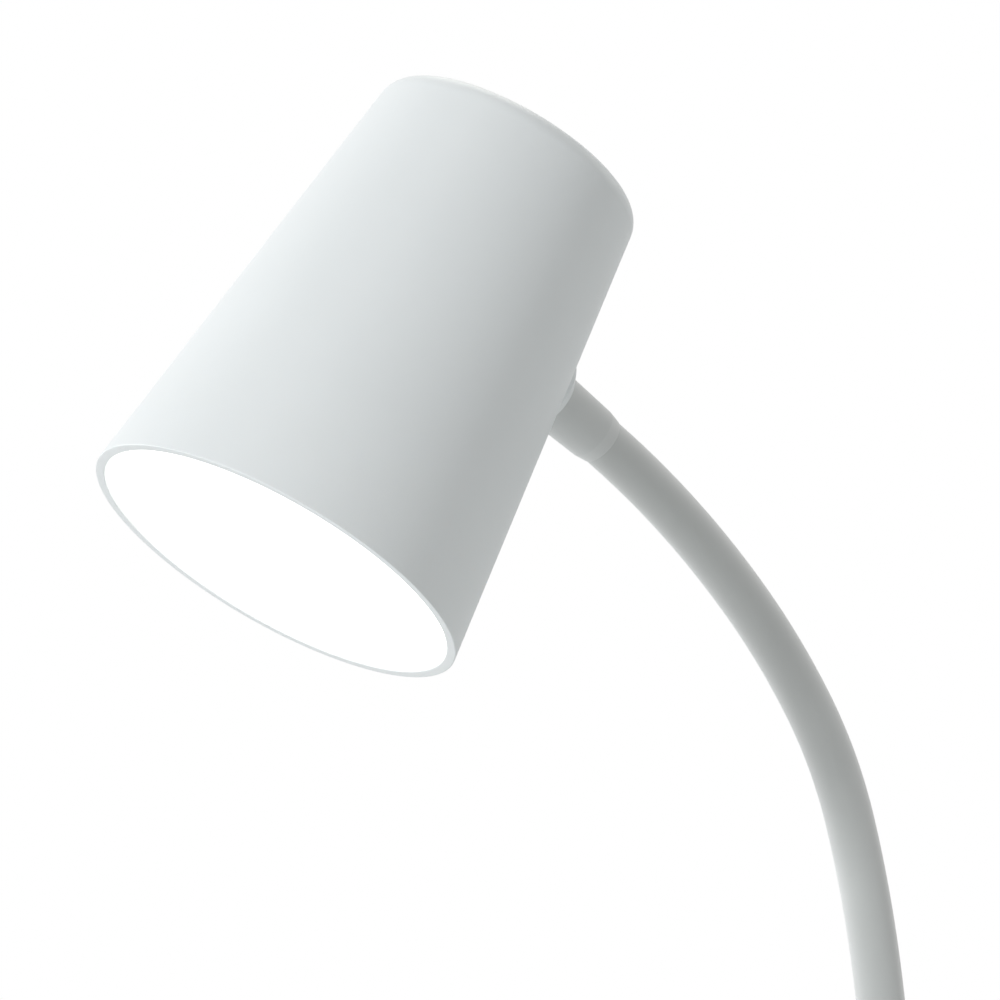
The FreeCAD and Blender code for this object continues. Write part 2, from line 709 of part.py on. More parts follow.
def cup_end():
    """The lower end of a link: a cup round the joint at Z = 0."""
    return [
        ("core_bore", "sqrt(cup_radius^2 - core_bore^2)", "cup_radius", -1),
        ("cup_radius", "0"),
        ("cup_radius + cup_tip_wall", "0"),
        ("core_radius", "cup_taper"),
    ]


def plain_low_end(height):
    """A square lower end."""
    return [("core_bore", height), ("core_radius", height)]


def plain_high_end(height):
    """A square upper end."""
    return [("core_radius", height), ("core_bore", height)]


def ball_end(joint):
    """The upper end of a link: a stem and a ball round the next joint."""
    under = "sqrt(ball_radius^2 - ball_stem_radius^2)"
    crown = "sqrt(ball_radius^2 - ball_crown^2)"
    return [
        ("core_radius", f"{joint} - ball_stem_length"),
        ("ball_stem_radius", f"{joint} - ball_stem_length"),
        ("ball_stem_radius", f"{joint} - {under}", "ball_radius", 1),
        (crown, f"{joint} + ball_crown"),
        ("ball_mouth_radius", f"{joint} + ball_crown"),
        ("core_bore", f"{joint} - ball_mouth_depth"),
    ]


def tube(name, inner, outer, low, high):
    """A plain tube between two heights."""
    return turned(name, [(inner, low), (outer, low), (outer, high), (inner, high)])


def make_neck():
    """The chain of links, each with its steel core, its sleeve and its cable."""
    frame = shifted("", at=("0", "0", "base_height"))
    for number in range(JOINT_COUNT + 1):
        first, last = number == 0, number == JOINT_COUNT
        length = "base_stub" if first else "link_pitch"
        low_end = plain_low_end(NECK_START) if first else cup_end()
        high_end = plain_high_end(NECK_END) if last else ball_end(length)
        core = keep(turned(f"neck_core_{number}", low_end + high_end), frame)
        low = NECK_START if first else "sleeve_setback"
        high = NECK_END if last else f"{length} - sleeve_setback"
        sleeve = tube(f"neck_sleeve_{number}", "sleeve_bore", "sleeve_radius", low, high)
        keep(sleeve, f"{core.Name}.Placement")
        keep(make_cable_piece(number, first, last, length), f"{core.Name}.Placement")
        if not last:
            frame = shifted(f"{core.Name}.Placement", at=("0", "0", length),
                            axis="0; 1; 0", angle=f"-bend_{number + 1}")


def make_cable_piece(number, first, last, length):
    """The stretch of the supply cable inside one link."""
    tail = "cable_tail"
    low = f"-(seat_thickness + {CLAMPED} + {tail})" if first else "cable_setback"
    high = f"head_stub + {BOSS_DEPTH} + {CLAMPED} + {tail}" if last else f"{length} - cable_setback"
    bar = cylinder(f"cable_bar_{number}", "cable_radius", f"{high} - ({low})",
                   at=("0", "0", low))
    return grouped(f"neck_cable_{number}", [bar])


def make_end_fitting(prefix, grip, frame):
    """A ferrule with its threaded stem, and the washer and nut that hold it.

    The fitting is modelled with its seat at Z = 0 and its stem pointing down;
    grip is the thickness of the wall that it clamps.
    """
    stem = f"({grip} + {CLAMPED})"
    ferrule = turned(
        f"{prefix}_ferrule_body",
        [
            ("stem_bore", "0"),
            ("stem_radius", "0"),
            ("stem_radius", stem),
            ("ferrule_radius", stem),
            ("ferrule_waist_radius", f"{stem} + ferrule_length - ferrule_taper"),
            ("ferrule_tip_radius", f"{stem} + ferrule_length"),
            ("ferrule_bore", f"{stem} + ferrule_length"),
            ("ferrule_bore", f"{stem} + ferrule_floor"),
            ("stem_bore", f"{stem} + ferrule_floor"),
        ],
        rounds=[("ferrule_tip_radius", f"{stem} + ferrule_length", "ferrule_tip_round")],
    )
    place(ferrule, at=("0", "0", f"-{stem}"))
    keep(grouped(f"{prefix}_ferrule", [ferrule]), frame)

    under_washer = f"-({grip} + washer_thickness)"
    washer = tube(f"{prefix}_washer_ring", "stem_hole", "washer_radius",
                  "0", "washer_thickness")
    place(washer, at=("0", "0", under_washer))
    keep(grouped(f"{prefix}_washer", [washer]), frame)

    hexagon = doc.addObject("Part::Prism", f"{prefix}_nut_hexagon")
    hexagon.Polygon = 6
    bind(hexagon, Circumradius="nut_half_width / cos(30 deg)", Height="nut_height")
    hole = cylinder(f"{prefix}_nut_hole", "stem_radius + nut_clearance", "2 * nut_height",
                    at=("0", "0", "-nut_height / 2"))
    nut = cut(f"{prefix}_nut_body", hexagon, [hole])
    place(nut, at=("0", "0", f"{under_washer} - nut_height"))
    keep(grouped(f"{prefix}_nut", [nut]), frame)


def bent_wire(name, start, middle, end, bend, offset):
    """A wire that runs along X, turns through a quarter and runs along Z.

    start is the X where it begins, middle the X and Z of its corner, end the Z where
    it ends, bend its radius there and offset its Y, all as expressions.
    """
    x_run = f"({start} - {middle[0]} - {bend})"
    low, high = sorted((end, middle[1]), key=size)
    z_run = f"({high} - {low} - {bend})"
    above = size(end) > size(middle[1])
    across = cylinder(f"{name}_across", "wire_radius", x_run,
                      at=(f"{middle[0]} + {bend}", offset, middle[1]), turn=ALONG_X)
    upright = cylinder(f"{name}_upright", "wire_radius", z_run,
                       at=(middle[0], offset, f"{low} + {bend}" if above else low))
    elbow = doc.addObject("Part::Torus", f"{name}_elbow")
    bind(elbow, Radius1=bend, Radius2="wire_radius")
    elbow.Angle3 = 90
    standing = FreeCAD.Rotation(X_AXIS, 90)
    spin = FreeCAD.Rotation(Z_AXIS, 180 if above else 90)
    centre_z = f"{middle[1]} + {bend}" if above else f"{middle[1]} - {bend}"
    place(elbow, at=(f"{middle[0]} + {bend}", offset, centre_z), turn=standing * spin)
    return fused(name, [across, elbow, upright])


def make_head_wires():
    """Two wires from the cable's end to the back of the light board."""
    cable_end = f"(boss_seat - ({CLAMPED} + cable_tail))"
    wires = [
        bent_wire(f"head_wire_{sign}", cable_end, ("0", "boss_height"), SINK_FRONT,
                  "head_wire_bend", f"{sign} * wire_spacing")
        for sign in (1, -1)
    ]
    keep(grouped("head_wires", wires), SHADE_FRAME)


# Heights in the base, above the desk, and the button's place on it.
PLATE_TOP = "(pad_thickness + plate_thickness)"
BALLAST_TOP = f"({PLATE_TOP} + ballast_thickness)"
BOARD_UNDER = f"({PLATE_TOP} + board_lift)"
BOARD_TOP = f"({BOARD_UNDER} + board_thickness)"
SHOULDER = "(base_height - base_crown)"
COVER_ROOF = "(base_height - cover_wall)"
POST_TOP = f"({SHOULDER} - cover_wall / 2)"
COVER_FALL = "(base_crown / (base_radius - base_draft - seat_radius))"
ROOF_AT_BUTTON = f"(base_height - {COVER_FALL} * (button_x - seat_radius))"
BUTTON_TOP = f"({ROOF_AT_BUTTON} + button_proud)"
SWITCH_TOP = f"({BOARD_TOP} + switch_height)"
FLANGE_LOW = f"({SWITCH_TOP} + button_travel + guide_gap)"
FLANGE_TOP = f"({FLANGE_LOW} + button_flange_height)"
CAVITY_FLOOR = f"({BOARD_TOP} + switch_skin)"
CAVITY_ROOF = f"({SWITCH_TOP} - switch_roof)"
PLUNGER_FLANGE = f"({CAVITY_ROOF} - plunger_clearance - plunger_flange_height)"
BUTTON_PLACE = ("-button_x", "0")


def board_posts():
    """The names and places of the four posts that carry the two boards."""
    return [
        (f"{board}_{side}", (x, f"{sign} * board_post_y"))
        for board, x in (("driver", "driver_post_x"), ("switch", "-button_x"))
        for side, sign in (("left", 1), ("right", -1))
    ]


def cover_posts():
    """The names and places of the four posts that take the cover screws."""
    return [
        (f"cover_{angle}", on_circle("cover_screw_circle", angle))
        for angle in COVER_SCREW_ANGLES
    ]


def make_cover():
    """The domed cover with its posts, the button's guide and the inlet's hole."""
    shoulder_radius = "(base_radius - base_draft)"
    inner_shoulder = f"({shoulder_radius} - cover_wall)"
    shell = turned(
        "cover_shell",
        [
            ("base_radius", "cover_foot"),
            (shoulder_radius, SHOULDER),
            ("seat_radius", "base_height"),
            ("stem_hole", "base_height"),
            ("stem_hole", "base_height - seat_thickness"),
            ("seat_radius", "base_height - seat_thickness"),
            ("seat_radius", COVER_ROOF),
            (inner_shoulder, f"{SHOULDER} - cover_wall"),
            ("base_radius - cover_wall", "cover_foot"),
        ],
        rounds=[
            (shoulder_radius, SHOULDER, "base_round"),
            (inner_shoulder, f"{SHOULDER} - cover_wall", "base_round - cover_wall"),
        ],
    )
    guide_radius = "(button_radius + button_clearance)"
    pieces = [
        shell,
        cylinder(
            "button_guide", f"{guide_radius} + guide_wall",
            f"{POST_TOP} - {FLANGE_TOP} - guide_gap",
            at=(*BUTTON_PLACE, f"{FLANGE_TOP} + guide_gap"),
        ),
    ]
    holes = [
        cylinder("button_hole", guide_radius, "base_height",
                 at=(*BUTTON_PLACE, f"{FLANGE_TOP} - guide_gap")),
        cylinder("jack_hole", "jack_nose_radius + jack_hole_clearance", "jack_inset",
                 at=("jack_far", "0", f"{BOARD_TOP} + jack_axis"), turn=ALONG_X),
    ]
    for name, across in board_posts():
        pieces.append(cylinder(f"{name}_post", "board_post_radius", f"{POST_TOP} - {BOARD_TOP}",
                               at=(*across, BOARD_TOP)))
        holes.append(
            cylinder(f"{name}_post_hole", "small_screw_radius + screw_clearance",
                     "small_screw_length", at=(*across, BOARD_TOP))
        )
    for name, across in cover_posts():
        pieces.append(cylinder(f"{name}_post", "cover_post_radius", f"{POST_TOP} - {BALLAST_TOP}",
                               at=(*across, BALLAST_TOP)))
        holes.append(
            cylinder(f"{name}_post_hole", "screw_radius + screw_clearance",
                     f"cover_screw_length - ({BALLAST_TOP} - pad_thickness) + screw_clearance",
                     at=(*across, BALLAST_TOP))
        )
    keep(cut("base_cover", fused("cover_moulding", pieces), holes))


def make_base_weight():
    """Anti-slip pad, steel bottom plate, cast weight and the cover screws."""
    pad = cylinder("pad_disc", "base_radius - pad_margin", "pad_thickness")
    keep(grouped("foot_pad", [pad]))

    plate = cylinder("plate_disc", "base_radius - plate_margin", "plate_thickness",
                     at=("0", "0", "pad_thickness"))
    weight = cylinder("ballast_disc", "base_radius - ballast_margin", "ballast_thickness",
                      at=("0", "0", PLATE_TOP))
    front = "(button_x + switch_board_half_length + board_lift)"
    through = f"{PLATE_TOP} - ballast_thickness / 2"
    plate_holes = []
    weight_holes = [
        cylinder("ballast_middle", "ballast_hole", "2 * ballast_thickness",
                 at=("0", "0", through)),
        box("ballast_channel", "front_notch_near + rear_notch_near", "2 * channel_half_width",
            "2 * ballast_thickness",
            at=("-front_notch_near", "-channel_half_width", through)),
    ]
    for name, low, high in (("rear", "rear_notch_near", "base_radius"),
                            ("front", f"-{front}", "-front_notch_near")):
        weight_holes.append(
            box(f"{name}_notch", f"{high} - ({low})", "2 * notch_half_width",
                "2 * ballast_thickness", at=(low, "-notch_half_width", through))
        )
    screws = []
    for name, across in cover_posts():
        head = "(screw_head_radius + screw_clearance)"
        shank = "(screw_radius + screw_clearance)"
        plate_holes.append(cone(f"{name}_countersink", head, shank, "cover_screw_cone",
                                at=(*across, "pad_thickness")))
        plate_holes.append(cylinder(f"{name}_plate_hole", shank, "2 * plate_thickness",
                                    at=(*across, "pad_thickness")))
        weight_holes.append(
            cylinder(f"{name}_weight_hole", "screw_radius + pass_clearance",
                     "2 * ballast_thickness", at=(*across, through))
        )
        screws.append(place(countersunk_screw(f"{name}_screw"), at=(*across, "pad_thickness")))
    keep(cut("base_plate", plate, plate_holes))
    keep(cut("ballast", weight, weight_holes))
    keep(grouped("cover_screws", screws))


def countersunk_screw(name):
    """A countersunk screw standing on its head, with a round drive recess."""
    recess = f"screw_radius * {RECESS_RADIUS}"
    depth = f"cover_screw_cone * {RECESS_DEPTH}"
    return turned(
        name,
        [
            ("0", depth),
            (recess, depth),
            (recess, "0"),
            ("screw_head_radius", "0"),
            ("screw_radius", "cover_screw_cone"),
            ("screw_radius", "cover_screw_length - screw_radius"),
            ("0", "cover_screw_length"),
        ],
    )


def make_boards():
    """The driver board, the switch board and their screws."""
    boards = {
        "driver": box("driver_panel", "driver_length", "2 * board_half_width", "board_thickness",
                      at=("driver_near", "-board_half_width", BOARD_UNDER)),
        "switch": box("switch_panel", "2 * switch_board_half_length", "2 * board_half_width",
                      "board_thickness",
                      at=("-button_x - switch_board_half_length", "-board_half_width",
                          BOARD_UNDER)),
    }
    holes = {"driver": [], "switch": []}
    screws = []
    for name, across in board_posts():
        holes[name.split("_")[0]].append(
            cylinder(f"{name}_board_hole", "small_screw_radius + pass_clearance",
                     "2 * board_thickness", at=(*across, f"{BOARD_UNDER} - board_thickness / 2"))
        )
        screw = pan_screw(f"{name}_screw", "small_screw_radius", "small_screw_head",
                          "small_head_height", "small_screw_length - small_screw_radius")
        screws.append(place(screw, at=(*across, f"{BOARD_UNDER} - small_head_height")))
    for name, panel in boards.items():
        keep(cut(f"{name}_board", panel, holes[name]))
    keep(grouped("board_screws", screws))


def make_driver_parts():
    """The coil, chip, rectifier, fuse and capacitor on the driver board."""
    parts = [
        box(f"driver_{part}", f"{part}_length", f"{part}_width", f"{part}_height",
            at=(f"driver_near + {part}_x", f"{part}_y", BOARD_TOP))
        for part in ("coil", "chip", "bridge", "fuse")
    ]
    parts.append(
        cylinder("driver_capacitor", "capacitor_radius", "capacitor_height",
                 at=("driver_near + capacitor_x", "capacitor_y", BOARD_TOP))
    )
    keep(grouped("driver_parts", parts))


# Heights of the plunger's shank end and of its flange.
SOCKET_TOP = f"({FLANGE_LOW} + socket_depth)"
PLUNGER_FLANGE_TOP = f"({PLUNGER_FLANGE} + plunger_flange_height)"


def make_switch_body():
    """The switch's square body, hollow for its spring and the plunger's flange."""
    half = "switch_side / 2"
    body = box("switch_block", "switch_side", "switch_side", "switch_height",
               at=(f"-button_x - {half}", f"-{half}", BOARD_TOP))
    cavity = cylinder("switch_cavity", "switch_bore", f"{CAVITY_ROOF} - {CAVITY_FLOOR}",
                      at=(*BUTTON_PLACE, CAVITY_FLOOR))
    exit_hole = cylinder("switch_exit", "plunger_radius + plunger_clearance", "2 * switch_roof",
                         at=(*BUTTON_PLACE, f"{CAVITY_ROOF} - switch_roof / 2"))
    keep(cut("switch_body", body, [cavity, exit_hole]))


def make_plunger():
    """The plunger: a pin inside the spring, a flange on it, and a shank up to the button."""
    pin_low = f"({PLUNGER_FLANGE} - plunger_pin_length)"
    plunger = turned(
        "plunger_body",
        [
            ("0", pin_low),
            ("plunger_pin_radius", pin_low),
            ("plunger_pin_radius", PLUNGER_FLANGE),
            ("plunger_flange_radius", PLUNGER_FLANGE),
            ("plunger_flange_radius", PLUNGER_FLANGE_TOP),
            ("plunger_radius", PLUNGER_FLANGE_TOP),
            ("plunger_radius", SOCKET_TOP),
            ("0", SOCKET_TOP),
        ],
    )
    place(plunger, at=(*BUTTON_PLACE, "0"))
    keep(grouped("switch_plunger", [plunger]))


def make_button():
    """The round button, held under its guide by a flange and pushed onto the plunger."""
    socket = "(plunger_radius + screw_clearance)"
    cap = turned(
        "button_body",
        [
            ("0", SOCKET_TOP),
            (socket, SOCKET_TOP),
            (socket, FLANGE_LOW),
            ("button_flange_radius", FLANGE_LOW),
            ("button_flange_radius", FLANGE_TOP),
            ("button_radius", FLANGE_TOP),
            ("button_radius", BUTTON_TOP),
            ("0", BUTTON_TOP),
        ],
        rounds=[("button_radius", BUTTON_TOP, "button_round")],
    )
    place(cap, at=(*BUTTON_PLACE, "0"))
    keep(grouped("button_cap", [cap]))


def make_spring():
    """The coil spring under the plunger's flange, swept along a helix."""
    low = size(f"{CAVITY_FLOOR} + spring_gap + spring_wire")
    high = size(f"{PLUNGER_FLANGE} - spring_gap - spring_wire")
    radius, wire = size("spring_radius"), size("spring_wire")
    helix = Part.makeHelix((high - low) / size("spring_turns"), high - low, radius)
    circle = Part.Circle(FreeCAD.Vector(radius, 0, 0), Y_AXIS, wire)
    coil = Part.Wire(helix.Edges).makePipeShell([Part.Wire([circle.toShape()])], True, True)
    spring = doc.addObject("Part::Feature", "switch_spring")
    spring.Shape = coil
    spring.Placement = FreeCAD.Placement(FreeCAD.Vector(-size("button_x"), 0, low), UPRIGHT)
    nodes.append(spring)


def make_inlet():
    """The round low-voltage inlet at the back of the base, and its centre pin."""
    axis = f"({BOARD_TOP} + jack_axis)"
    nose_face = "(jack_far + jack_nose_length)"
    housing = box("jack_block", "jack_length", "2 * jack_half_width", "jack_height",
                  at=("jack_far - jack_length", "-jack_half_width", BOARD_TOP))
    nose = cylinder("jack_nose", "jack_nose_radius", "jack_nose_length + jack_length / 2",
                    at=("jack_far - jack_length / 2", "0", axis), turn=ALONG_X)
    bore = cylinder("jack_hollow", "jack_bore", "2 * jack_depth",
                    at=(f"{nose_face} - jack_depth", "0", axis), turn=ALONG_X)
    keep(cut("dc_jack", fused("jack_moulding", [housing, nose]), [bore]))
    pin = cylinder("jack_pin_bar", "jack_pin_radius", "jack_depth - jack_pin_setback",
                   at=(f"{nose_face} - jack_depth", "0", axis), turn=ALONG_X)
    keep(grouped("dc_jack_pin", [pin]))


def make_base_wires():
    """Wires from the neck's cable and from the switch board to the driver board."""
    height = f"({BOARD_TOP} + wire_lift + wire_radius)"
    board_end = "(driver_near + wire_on_board)"
    cable_end = f"(base_height - seat_thickness - ({CLAMPED} + cable_tail))"
    wires = []
    for sign in (1, -1):
        wires.append(
            bent_wire(f"neck_wire_{sign}", board_end, ("0", height), cable_end,
                      "base_wire_bend", f"{sign} * wire_spacing")
        )
        start = "(-button_x + switch_board_half_length - wire_on_board / 2)"
        wires.append(
            cylinder(f"switch_wire_{sign}", "wire_radius", f"{board_end} - {start}",
                     at=(start, f"{sign} * switch_wire_y", height), turn=ALONG_X)
        )
    keep(grouped("base_wires", wires))


def check_and_write():
    """Stop on any failed object or bad shape, then write one STEP file for each node."""
    doc.recompute()
    failed = [o.Label for o in doc.Objects if {"Invalid", "Error"} & set(o.State)]
    if failed:
        raise SystemExit(f"failed objects: {failed}")
    for obj in nodes:
        shape = obj.Shape
        if shape.isNull() or not shape.isValid() or not shape.Solids:
            raise SystemExit(f"bad shape: {obj.Label}")
    os.makedirs("parts", exist_ok=True)
    for obj in nodes:
        obj.Shape.exportStep(os.path.join("parts", f"{obj.Label}.step"))
        print(f"{obj.Label}: {len(obj.Shape.Solids)} solids, {obj.Shape.Volume:.1f} mm3")
    print(len(nodes), "nodes")


fill_sheet()
make_neck()
make_shade()
make_diffuser()
make_heat_sink()
make_light_board()
make_heat_sink_screws()
make_end_fitting(
    "head",
    BOSS_DEPTH,
    shifted(f"neck_core_{JOINT_COUNT}.Placement", at=("0", "0", "head_stub"),
            axis="1; 0; 0", angle="180"),
)
make_end_fitting("base", "seat_thickness", shifted("", at=("0", "0", "base_height")))
make_head_wires()
make_base_weight()
make_cover()
make_boards()
make_driver_parts()
make_switch_body()
make_plunger()
make_button()
make_spring()
make_inlet()
make_base_wires()
check_and_write()
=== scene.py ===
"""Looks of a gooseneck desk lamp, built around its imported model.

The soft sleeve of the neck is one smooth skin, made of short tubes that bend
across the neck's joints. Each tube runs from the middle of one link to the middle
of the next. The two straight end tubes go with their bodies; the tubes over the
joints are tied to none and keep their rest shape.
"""

import json
import logging
import math
from dataclasses import dataclass, field
from enum import Enum

import bmesh
import bpy
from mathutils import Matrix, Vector

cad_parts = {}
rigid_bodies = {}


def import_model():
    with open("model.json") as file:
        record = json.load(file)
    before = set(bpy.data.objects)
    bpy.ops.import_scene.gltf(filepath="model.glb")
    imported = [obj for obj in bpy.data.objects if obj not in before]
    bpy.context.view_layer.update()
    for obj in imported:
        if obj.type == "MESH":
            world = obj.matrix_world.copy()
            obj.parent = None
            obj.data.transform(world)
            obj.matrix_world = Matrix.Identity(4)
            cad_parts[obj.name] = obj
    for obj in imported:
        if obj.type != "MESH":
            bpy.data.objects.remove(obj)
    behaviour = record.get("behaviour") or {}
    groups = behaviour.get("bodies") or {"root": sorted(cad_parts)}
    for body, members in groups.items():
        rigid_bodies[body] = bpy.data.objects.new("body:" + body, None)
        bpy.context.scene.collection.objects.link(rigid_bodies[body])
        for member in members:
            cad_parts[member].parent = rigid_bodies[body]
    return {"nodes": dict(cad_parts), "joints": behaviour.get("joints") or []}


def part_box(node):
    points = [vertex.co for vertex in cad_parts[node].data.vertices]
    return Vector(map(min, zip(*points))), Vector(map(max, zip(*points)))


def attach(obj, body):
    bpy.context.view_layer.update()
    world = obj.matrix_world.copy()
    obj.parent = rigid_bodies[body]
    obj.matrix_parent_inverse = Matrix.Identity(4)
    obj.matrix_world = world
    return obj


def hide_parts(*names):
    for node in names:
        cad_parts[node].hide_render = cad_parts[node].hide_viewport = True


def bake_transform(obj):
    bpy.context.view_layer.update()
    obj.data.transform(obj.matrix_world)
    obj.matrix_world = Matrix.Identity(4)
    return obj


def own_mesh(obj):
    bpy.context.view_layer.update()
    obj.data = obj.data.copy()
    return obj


LOG = logging.getLogger("lamp")
MM = 0.001
Y_AXIS = Vector((0, 1, 0))
Z_AXIS = Vector((0, 0, 1))

Colour = tuple[float, float, float]
Ring = list[bmesh.types.BMVert]
Socket = bpy.types.NodeSocket
Value = Socket | float | tuple[float, ...]


# Shader nodes


class NodeMaker:
    """Adds nodes to a shader tree and joins them."""

    # A Mix node's sockets for colours come after those for plain values
    MIX_UNDER = 6
    MIX_OVER = 7
    MIX_RESULT = 2

    def __init__(self, tree: bpy.types.NodeTree) -> None:
        """Work on a tree.

        Args:
            tree: the nodes of a group, a material or a world.
        """
        self.tree = tree

    def node(self, kind: str, **settings: object) -> bpy.types.Node:
        """Add a node.

        Args:
            kind: the node's class name without "ShaderNode".
            **settings: properties of the node.

        Returns:
            The new node.
        """
        made = self.tree.nodes.new(f"ShaderNode{kind}")
        for name, value in settings.items():
            setattr(made, name, value)
        return made

    def group(self, tree: bpy.types.NodeTree, **values: Value) -> bpy.types.Node:
        """Place a shared group.

        Args:
            tree: the group's nodes.
            **values: its inputs by name.

        Returns:
            The group's node.
        """
        made = self.node("Group", node_tree=tree)
        for name, value in values.items():
            self.feed(made.inputs[name], value)
        return made

    def feed(self, target: Socket, value: Value) -> None:
        """Link an input to another node's output, or set it to a plain value.

        Args:
            target: the input.
            value: the output or the plain value.
        """
        if isinstance(value, Socket):
            self.tree.links.new(value, target)
        else:
            target.default_value = value

    def math(self, operation: str, *values: Socket | float, clamp: bool = False) -> Socket:
        """Add a Math node.

        Args:
            operation: the node's operation.
            *values: its inputs in order.
            clamp: whether the result stays between 0 and 1.

        Returns:
            The node's output.
        """
        made = self.node("Math", operation=operation, use_clamp=clamp)
        for target, value in zip(made.inputs, values):
            self.feed(target, value)
        return made.outputs[0]

    def place(self) -> Socket:
        """The object's own coordinates, in metres."""
        return self.node("TexCoord").outputs["Object"]

    def noise(
        self,
        scale: Socket | float,
        detail: float,
        roughness: float = 0.5,
        place: Socket | None = None,
    ) -> Socket:
        """Add a noise texture.

        Args:
            scale: how many of its features fit in a metre.
            detail: the number of its finer layers.
            roughness: how strong the finer layers are.
            place: its coordinates, where they aren't the object's own.

        Returns:
            Its value, between 0 and 1.
        """
        made = self.node("TexNoise")
        self.feed(made.inputs["Vector"], place or self.place())
        self.feed(made.inputs["Scale"], scale)
        self.feed(made.inputs["Detail"], detail)
        self.feed(made.inputs["Roughness"], roughness)
        return made.outputs[0]

    def mix(self, share: Socket, under: Socket | Colour, over: Socket | Colour) -> Socket:
        """Mix two colours.

        Args:
            share: how much of the second colour shows, from 0 to 1.
            under: the first colour.
            over: the second colour.

        Returns:
            The mixed colour.
        """
        made = self.node("Mix", data_type="RGBA")
        self.feed(made.inputs[0], share)
        for index, colour in ((self.MIX_UNDER, under), (self.MIX_OVER, over)):
            plain = not isinstance(colour, Socket)
            self.feed(made.inputs[index], (*colour, 1) if plain else colour)
        return made.outputs[self.MIX_RESULT]


class GroupBuilder(NodeMaker):
    """Builds one shader node group with named inputs and outputs."""

    def __init__(self, name: str) -> None:
        """Start an empty group.

        Args:
            name: the group's name.
        """
        super().__init__(bpy.data.node_groups.new(name, "ShaderNodeTree"))
        self.start = self.tree.nodes.new("NodeGroupInput")
        self.end = self.tree.nodes.new("NodeGroupOutput")

    def input(self, name: str, kind: str, default: float | tuple[float, ...]) -> None:
        """Add a named input.

        Args:
            name: the socket's name.
            kind: "Float", "Color" or "Vector".
            default: its value where nothing is linked.
        """
        socket = self.tree.interface.new_socket(
            name=name, in_out="INPUT", socket_type=f"NodeSocket{kind}"
        )
        socket.default_value = default

    def output(self, name: str, kind: str = "Float") -> None:
        """Add a named output.

        Args:
            name: the socket's name.
            kind: "Float" or "Color".
        """
        self.tree.interface.new_socket(
            name=name, in_out="OUTPUT", socket_type=f"NodeSocket{kind}"
        )

    def given(self, name: str) -> Socket:
        """What the group is given for one of its inputs."""
        return self.start.outputs[name]

    def hand_out(self, name: str, value: Socket) -> None:
        """Hand a value out of the group.

        Args:
            name: the output's name.
            value: what it gives.
        """
        self.feed(self.end.inputs[name], value)


